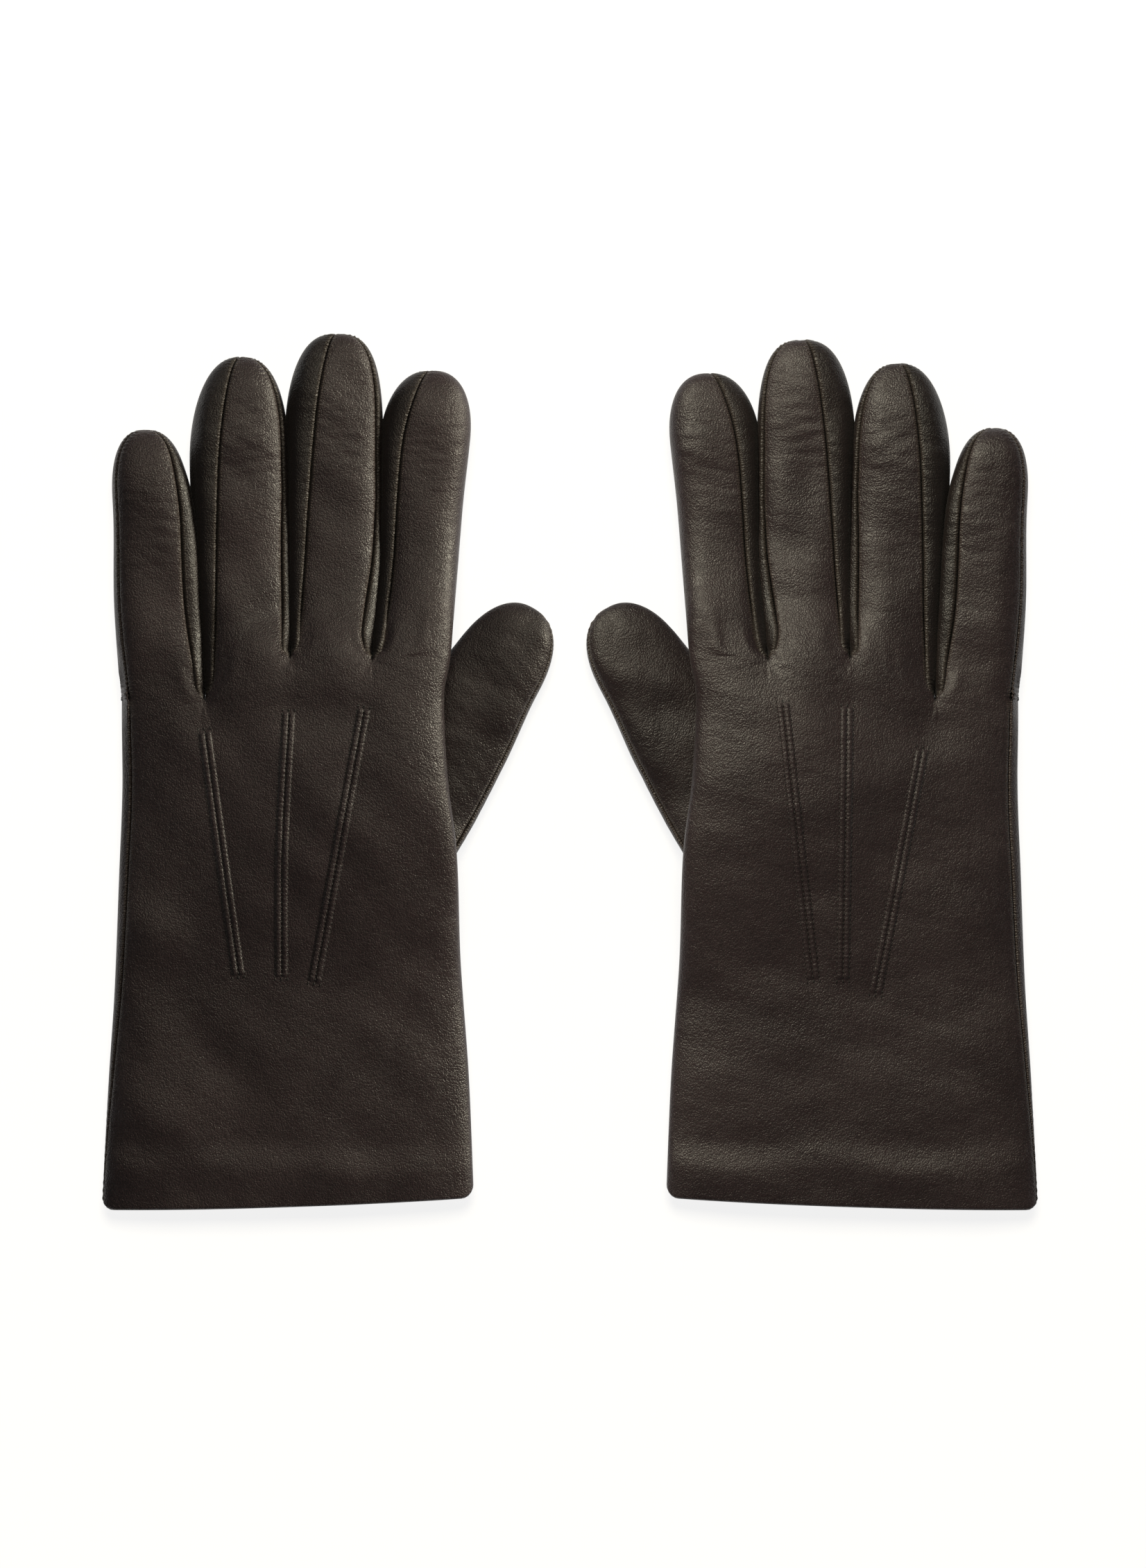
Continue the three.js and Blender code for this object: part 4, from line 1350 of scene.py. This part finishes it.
@dataclass
class HandPart:
    """The hand of a glove: its leather from the cuff to the fingers, its hem and its lining."""

    form: Form
    fingers: list[FingerPart]
    finishes: Finishes
    fineness: Fineness

    FOLD = 0.95  # radius of the fold at the cuff's edge

    def __post_init__(self) -> None:
        """Takes the seat from the form."""
        self.seat = self.form.seat

    def root_row(self) -> tuple[np.ndarray, list[tuple[int, str, int, int]]]:
        """The hand's last row: the fingers' first rows, one after the other round the hand.

        Returns:
            The row's points, and for each strip its finger, name and columns in the row.
        """
        backs, fronts = ((0, "back"), (1, "back"), (2, "back")), ((2, "front"), (1, "front"), (0, "front"))
        order = (*backs, (3, "wrap"), *fronts)
        row: list[np.ndarray] = []
        spans = []
        count = 0
        for number, key in order:
            first = self.fingers[number].sheets[key].points[0]
            skip = 1 if row else 0
            spans.append((number, key, count - skip, count - skip + len(first)))
            row.append(first[skip:])
            count += len(first) - skip
        return np.concatenate(row), spans

    def sheet(self) -> Sheet:
        """The hand's leather, from inside the hem round the cuff's edge to the fingers."""
        root, _ = self.root_row()
        rows = int((ROOT_Y - self.seat.cuff) / self.fineness.hand_step)
        spread = np.linspace(0, 1, rows)
        start = self.FOLD / (ROOT_Y - self.seat.cuff)
        along = start + (1 - start) * (1 - (1 - spread) ** 1.25)
        samples = 5 * self.fineness.samples
        station = mix(self.seat.cuff, ROOT_Y, along)
        half = (THUMB_EDGE(station) - LITTLE_EDGE(station)) / 2
        above = np.arccos(np.clip(1 - SIDE_SEAM(station) / half, 0, 1) ** (HAND_ROUNDNESS / 2))
        share = np.linspace(0, 1, samples)
        angle = mix((math.pi - above)[:, None], (-math.pi - above)[:, None], share[None, :])
        dense = self.form.hand(along[:, None], angle)
        dense[:, -1] = dense[:, 0]
        steps = np.linalg.norm(np.diff(dense, axis=1), axis=2)
        arc = np.concatenate([np.zeros((rows, 1)), np.cumsum(steps, axis=1)], axis=1)
        width = arc[:, -1]
        normal = unit(np.cross(np.gradient(dense, axis=1), np.gradient(dense, axis=0)))
        root_arc = np.concatenate([[0], np.cumsum(np.linalg.norm(np.diff(root, axis=0), axis=1))])
        turn = Turn()
        opening = np.ones(rows)
        edge, edge_depth = turn.layout(opening, width)
        seam = edge.shape[1]
        columns = len(root)
        even = np.linspace(0, 1, columns - 2 * seam + 2)[1:-1]
        even = mix(edge[:, -1:], width[:, None] - edge[:, -1:], even[None, :])
        inner = root_arc[seam:-seam] / root_arc[-1]
        gathered = mix(edge[:, -1:], width[:, None] - edge[:, -1:], inner[None, :])
        blend = smooth(along, 0.72, 1.0)[:, None]
        at = np.concatenate([edge, mix(even, gathered, blend), (width[:, None] - edge)[:, ::-1]], axis=1)
        depth = np.concatenate([edge_depth, np.zeros_like(even), edge_depth[:, ::-1]], axis=1)
        length = along * (ROOT_Y - self.seat.cuff)
        wave = np.sin(2 * math.pi * length / (2.3 * turn.pitch)) * turn.pucker
        for distance in (at, width[:, None] - at):
            depth = depth - wave[:, None] * np.exp(-(((distance - 0.9) / 1.1) ** 2))
        points = np.empty((*at.shape, 3))
        normals = np.empty_like(points)
        for row in range(rows):
            for axis in range(3):
                normals[row, :, axis] = np.interp(at[row], arc[row], normal[row, :, axis])
                points[row, :, axis] = np.interp(at[row], arc[row], dense[row, :, axis])
        points -= depth[..., None] * normals
        fade = smooth(along, 0.93, 1.0)[:, None, None]
        points = points + (root - points[-1])[None] * fade
        fold = self.fold_rows(points[0], normals[0])
        distance = np.minimum(at, width[:, None] - at)
        distance = np.concatenate([np.broadcast_to(distance[:1], fold.shape[:2]), distance])
        run = np.concatenate([length[0] - np.arange(len(fold), 0, -1) * 0.3, length])
        return Sheet.from_edges(np.concatenate([fold, points]), distance, run)

    def fold_rows(self, edge: np.ndarray, normals: np.ndarray) -> np.ndarray:
        """The rows that turn the leather in round the cuff's edge, from the inside out."""
        rows = []
        for degrees in range(180, 0, -20):
            turn = math.radians(degrees)
            inward = normals * [1, 0, 1] * self.FOLD * (1 - math.cos(turn))
            rows.append(edge - inward - np.array([0, self.FOLD * math.sin(turn), 0]))
        return np.stack(rows)

    def make(self) -> dict[int, dict[str, np.ndarray]]:
        """Makes the hand's pieces.

        Returns:
            For each finger, the hand's summed normals under each of its strips.
        """
        sheet = self.sheet()
        grid = sheet.points
        _, spans = self.root_row()
        piece = thicken(sheet_piece(self.seat.name("hand_leather"), self.seat, grid, sewn=sheet), LEATHER_THICKNESS)
        own = row_normals(grid, -1)
        shared = own.copy()
        for number, key, first, last in spans:
            shared[first:last] += row_normals(self.fingers[number].sheets[key].points, 0)
        columns = grid.shape[1]
        where = np.arange(columns) + (grid.shape[0] - 1) * columns
        match_normals(piece, self.seat, where, shared)
        dress(piece, self.finishes.trank)
        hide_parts(self.seat.name("hand_back"), self.seat.name("hand_palm"))
        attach(piece, self.seat.name("hand"))
        self.make_hem()
        self.make_lining()
        under: dict[int, dict[str, np.ndarray]] = {}
        for number, key, first, last in spans:
            strip = self.fingers[number].sheets[key].points
            under.setdefault(number, {})[key] = shared[first:last] - row_normals(strip, 0)
        return under

    def make_hem(self) -> None:
        """The leather that is turned in at the cuff, behind the fold."""
        rise = np.linspace(self.FOLD, HEM_DEPTH, 24) / (ROOT_Y - self.seat.cuff)
        angle = np.linspace(math.pi, -math.pi, 121)
        skin = self.form.hand(rise[:, None], angle[None, :], 1.75)
        piece = thicken(sheet_piece(self.seat.name("cuff_hem_leather"), self.seat, skin[:, ::-1], closed=True), -LEATHER_THICKNESS)
        dress(piece, self.finishes.hem)
        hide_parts(self.seat.name("cuff_hem"))
        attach(piece, self.seat.name("hand"))

    def make_lining(self) -> None:
        """The hand's tube of knit, sewn behind the hem."""
        along = np.linspace(HEM_DEPTH - 2, 150, 70) / (ROOT_Y - self.seat.cuff)
        angle = np.linspace(math.pi, -math.pi, 121)
        skin = self.form.hand(along[:, None], angle[None, :], 2.6)
        piece = thicken(sheet_piece(self.seat.name("hand_lining_knit"), self.seat, skin[:, ::-1], closed=True), -LEATHER_THICKNESS)
        dress(piece, self.finishes.knit)
        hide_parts(self.seat.name("hand_lining"))
        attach(piece, self.seat.name("hand"))


@dataclass
class ThumbPart:
    """The thumb: its leather with a seam along the outer edge, and its lining."""

    form: Form
    finishes: Finishes
    fineness: Fineness

    def make(self) -> None:
        """Makes the thumb's pieces."""
        seat = self.form.seat
        rows = int((THUMB.tip - THUMB.back) / (self.fineness.finger_step * 1.3))
        spread = 0.5 - 0.5 * np.cos(np.linspace(0.005, math.pi - 0.01, rows))
        along = mix(THUMB.back, THUMB.tip, spread)
        angle = np.linspace(THUMB.seam, THUMB.seam - 2 * math.pi, 4 * self.fineness.samples)
        dense = self.form.thumb(along[:, None], angle[None, :])
        dense[:, -1] = dense[:, 0]
        opening = smooth(along, THUMB.back + 4, THUMB.back + 16)
        turn = Turn(pucker=0.08)
        sheet = spread_columns(dense, turn, turn, opening, 60, self.form.seed + 60)
        piece = thicken(sheet_piece(seat.name("thumb_leather"), seat, sheet.points, sewn=sheet), LEATHER_THICKNESS)
        # The thumb takes the darker copy of the leather, painted shade beside the hand.
        dress(piece, self.finishes.thumb)
        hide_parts(seat.name("thumb"), seat.name("thumb_base"))
        self.bend(piece, seat)
        spread = 0.5 - 0.5 * np.cos(np.linspace(0.05, math.pi - 0.05, 50))
        lining_along = mix(THUMB.back + 2.2, THUMB.tip - 2.2, spread)
        angle = np.linspace(math.pi, -math.pi, 41)
        skin = self.form.thumb(lining_along[:, None], angle[None, :], 1.4)
        lining = thicken(sheet_piece(seat.name("thumb_lining_knit"), seat, skin, closed=True), POINT_THICKNESS)
        dress(lining, self.finishes.knit)
        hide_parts(seat.name("thumb_lining"), seat.name("thumb_base_lining"))
        self.bend(lining, seat)

    def bend(self, piece: bpy.types.Object, seat: Seat) -> None:
        """Bakes the piece's placement into its mesh."""
        seat.name("hand")
        seat.name("thumb")
        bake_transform(piece)


@dataclass
class PointsPart:
    """The three points: each two ribs of pinched leather with three rows of stitches."""

    form: Form
    finishes: Finishes
    fineness: Fineness

    HALF = 2.5
    RIB_AT = 0.94
    RIB_HALF = 0.88
    RIB_HEIGHT = 0.36
    STITCH = 1.4

    def profile(self, across: np.ndarray) -> np.ndarray:
        """The tuck's height above the leather, across it."""
        inside = np.clip(1 - ((np.abs(across) - self.RIB_AT) / self.RIB_HALF) ** 2, 0, 1)
        return (self.RIB_HEIGHT + 0.1) * np.sqrt(inside) - 0.02 - 0.5 * smooth(np.abs(across), 1.8, self.HALF)

    def frame(self, tuck: Tuck, step: float) -> tuple[np.ndarray, np.ndarray]:
        """The tuck's path and its direction across, both (points, 2)."""
        line = tuck.line(step)
        forward = unit(np.gradient(line, axis=0))
        return line, np.stack([-forward[:, 1], forward[:, 0]], 1)

    def skin(self, x: np.ndarray, y: np.ndarray) -> np.ndarray:
        """The height of the back's leather over points of the plan."""
        return self.form.root(x, y, True)[..., 2]

    def make(self) -> None:
        """Makes each point and its stitches."""
        seat = self.form.seat
        for tuck in TUCKS[seat.side]:
            line, side = self.frame(tuck, 0.3)
            across = np.linspace(-self.HALF, self.HALF, 27)
            x = line[:, :1] + side[:, :1] * across
            y = line[:, 1:] + side[:, 1:] * across
            length = np.arange(len(line)) * 0.3
            end = smooth(length, 0, 1.6) * (1 - smooth(length, length[-1] - 1.6, length[-1]))
            pinch = 1 + 0.1 * np.cos(2 * math.pi * length / self.STITCH)
            height = self.profile(across)[None, :]
            height = np.where(height > 0, height * (end * pinch)[:, None], height) - 0.12 * (1 - end)[:, None]
            grid = np.stack([x, y, self.skin(x, y) + height], -1)[::-1]
            name = seat.name(f"point_{tuck.name}")
            piece = thicken(sheet_piece(f"{name}_leather", seat, self.outward(grid)), POINT_THICKNESS)
            dress(piece, self.finishes.trank)
            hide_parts(name)
            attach(piece, seat.name("hand"))
            self.make_stitches(tuck, name)

    def outward(self, grid: np.ndarray) -> np.ndarray:
        """The grid with its columns in the order that faces it upwards."""
        return grid if face_normals(grid)[..., 2].mean() > 0 else grid[:, ::-1]

    def make_stitches(self, tuck: Tuck, name: str) -> None:
        """Three rows of stitches, each one a short bead of thread sunk at both ends."""
        clear_selection()
        bpy.ops.mesh.primitive_uv_sphere_add(segments=6, ring_count=5, radius=1)
        bead = bpy.context.object
        bead.name = bead.data.name = f"{name}_stitches"
        corners = np.array([v.co for v in bead.data.vertices])
        faces = [list(p.vertices) for p in bead.data.polygons]
        seat = self.form.seat
        line, side = self.frame(tuck, self.STITCH)
        forward = np.stack([side[:, 1], -side[:, 0]], 1)
        vertices, polygons = [], []
        for row in (-1.84, 0.0, 1.84):
            for spot, across, ahead in zip(line, side, forward):
                centre = spot + across * row
                height = self.skin(centre[:1], centre[1:])[0] + (0.05 if row else 0.14)
                plan = centre + corners[:, 2:] * 0.52 * ahead + corners[:, :1] * 0.19 * across
                z = height + corners[:, 1] * 0.16
                polygons += [[i + len(vertices) * len(corners) for i in f] for f in faces]
                vertices.append(np.column_stack([plan, z]))
        bead.data.clear_geometry()
        bead.data.from_pydata(seat.carry(np.concatenate(vertices)).tolist(), [], polygons)
        bpy.ops.object.mode_set(mode="EDIT")
        bpy.ops.mesh.select_all(action="SELECT")
        bpy.ops.mesh.normals_make_consistent(inside=False)
        bpy.ops.object.mode_set(mode="OBJECT")
        bpy.ops.object.shade_smooth()
        dress(bead, self.finishes.thread)
        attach(bead, seat.name("hand"))


class Glove:
    """One whole glove."""

    def __init__(self, side: Side, finishes: Finishes) -> None:
        """Works out the glove's form and its parts."""
        form = Form(Seat.of(side))
        fineness = Fineness.chosen()
        self.side = side
        self.fingers = [FingerPart(form, cut, finishes, fineness) for cut in FINGERS]
        self.hand = HandPart(form, self.fingers, finishes, fineness)
        self.thumb = ThumbPart(form, finishes, fineness)
        self.points = PointsPart(form, finishes, fineness)

    def make(self) -> list[bpy.types.Object]:
        """Makes every piece of the glove.

        Returns:
            The pieces.
        """
        before = set(bpy.data.objects)
        for finger in self.fingers:
            finger.build()
        under = self.hand.make()
        for number, finger in enumerate(self.fingers):
            finger.make(under.get(number, {}))
            log.info("%s %s made", self.side.value, finger.cut.name)
        self.thumb.make()
        self.points.make()
        log.info("%s glove made", self.side.value)
        return [piece for piece in bpy.data.objects if piece not in before]


# ---------------------------------------------------------------- the studio


@dataclass(frozen=True)
class Studio:
    """A pale table, soft light from above and a camera looking straight down."""

    view_middle: tuple[float, float] = (0.9, -3.6)
    view_height: float = 468.0
    distance: float = 2.4
    lens: float = 120.0
    room: float = 0.06
    key: dict[str, float] = field(default_factory=lambda: {"left": 71.0, "right": 41.0})
    far: float = 13.0
    keys: dict[str, tuple[float, float, float]] = field(
        default_factory=lambda: {"left": (2.0, 0.8, 1.0), "right": (-0.95, 1.2, 1.7)}
    )
    warm: tuple[float, float, float] = (1.0, 0.93, 0.74)

    def make_camera(self) -> None:
        """Sets the camera over the pair, so that the view's height fits the frame's."""
        camera = bpy.data.cameras.new("camera")
        camera.lens = self.lens
        camera.sensor_fit = "VERTICAL"
        camera.sensor_height = self.lens * self.view_height * MM / self.distance
        camera.clip_end = 20
        holder = bpy.data.objects.new("camera", camera)
        holder.location = (self.view_middle[0] * MM, self.view_middle[1] * MM, self.distance)
        bpy.context.scene.collection.objects.link(holder)
        bpy.context.scene.camera = holder
        bpy.context.scene.view_settings.view_transform = "Standard"

    def make_floor(self) -> None:
        """The table top under the pair."""
        clear_selection()
        low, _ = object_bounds()
        bpy.ops.mesh.primitive_plane_add(size=8, location=(0, 0, low[2] - 0.0001))
        floor = bpy.context.object
        floor.name = "table_top"
        material, _, shader = new_material("white_table")
        shader.inputs["Base Color"].default_value = (0.93, 0.93, 0.93, 1)
        shader.inputs["Roughness"].default_value = 0.9
        shader.inputs["Specular IOR Level"].default_value = 0.1
        shader.inputs["Emission Color"].default_value = (1, 1, 1, 1)
        shader.inputs["Emission Strength"].default_value = 0.82
        floor.data.materials.append(material)
        floor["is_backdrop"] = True

    def make_light(self, gloves: dict[Side, list[bpy.types.Object]]) -> None:
        """A soft warm light on each glove from the pair's middle, one on the table, and a dim even room.

        Args:
            gloves: the pieces of each glove, which only its own light reaches.
        """
        world = bpy.context.scene.world or bpy.data.worlds.new("room")
        bpy.context.scene.world = world
        world.use_nodes = True
        background = world.node_tree.nodes["Background"]
        background.inputs["Color"].default_value = (1, 1, 1, 1)
        background.inputs["Strength"].default_value = self.room
        for side, pieces in gloves.items():
            self.lamp(f"{side.value}_light", self.keys[side.value], 0.7, self.key[side.value], self.warm, pieces)
        self.lamp("far_light", (0.0, 1.2, 2.2), 1.0, self.far, self.warm)

    def lamp(
        self,
        name: str,
        place: tuple[float, float, float],
        size: float,
        power: float,
        colour: tuple[float, float, float],
        lit: Optional[list[bpy.types.Object]] = None,
    ) -> None:
        """A square soft light that faces the middle of the table.

        Args:
            name: the light's name.
            place: its middle, in metres.
            size: its side.
            power: its power, in watts.
            colour: its colour.
            lit: the only objects it lights, or None for all of them.
        """
        light = bpy.data.lights.new(name, "AREA")
        light.size = size
        light.energy = power
        light.color = colour
        holder = bpy.data.objects.new(name, light)
        holder.location = place
        holder.rotation_euler = Vector(place).to_track_quat("Z", "Y").to_euler()
        bpy.context.scene.collection.objects.link(holder)
        if lit is None:
            return
        group = bpy.data.collections.new(f"{name}_reach")
        for piece in lit:
            group.objects.link(piece)
        holder.light_linking.receiver_collection = group


def main() -> None:
    """Builds the studio and both gloves."""
    logging.basicConfig(level=logging.INFO, format="%(message)s")
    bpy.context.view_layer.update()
    studio = Studio()
    studio.make_camera()
    finishes = Finishes()
    gloves = {side: Glove(side, finishes).make() for side in Side}
    studio.make_floor()
    studio.make_light(gloves)


if __name__ == "__main__":
    main()
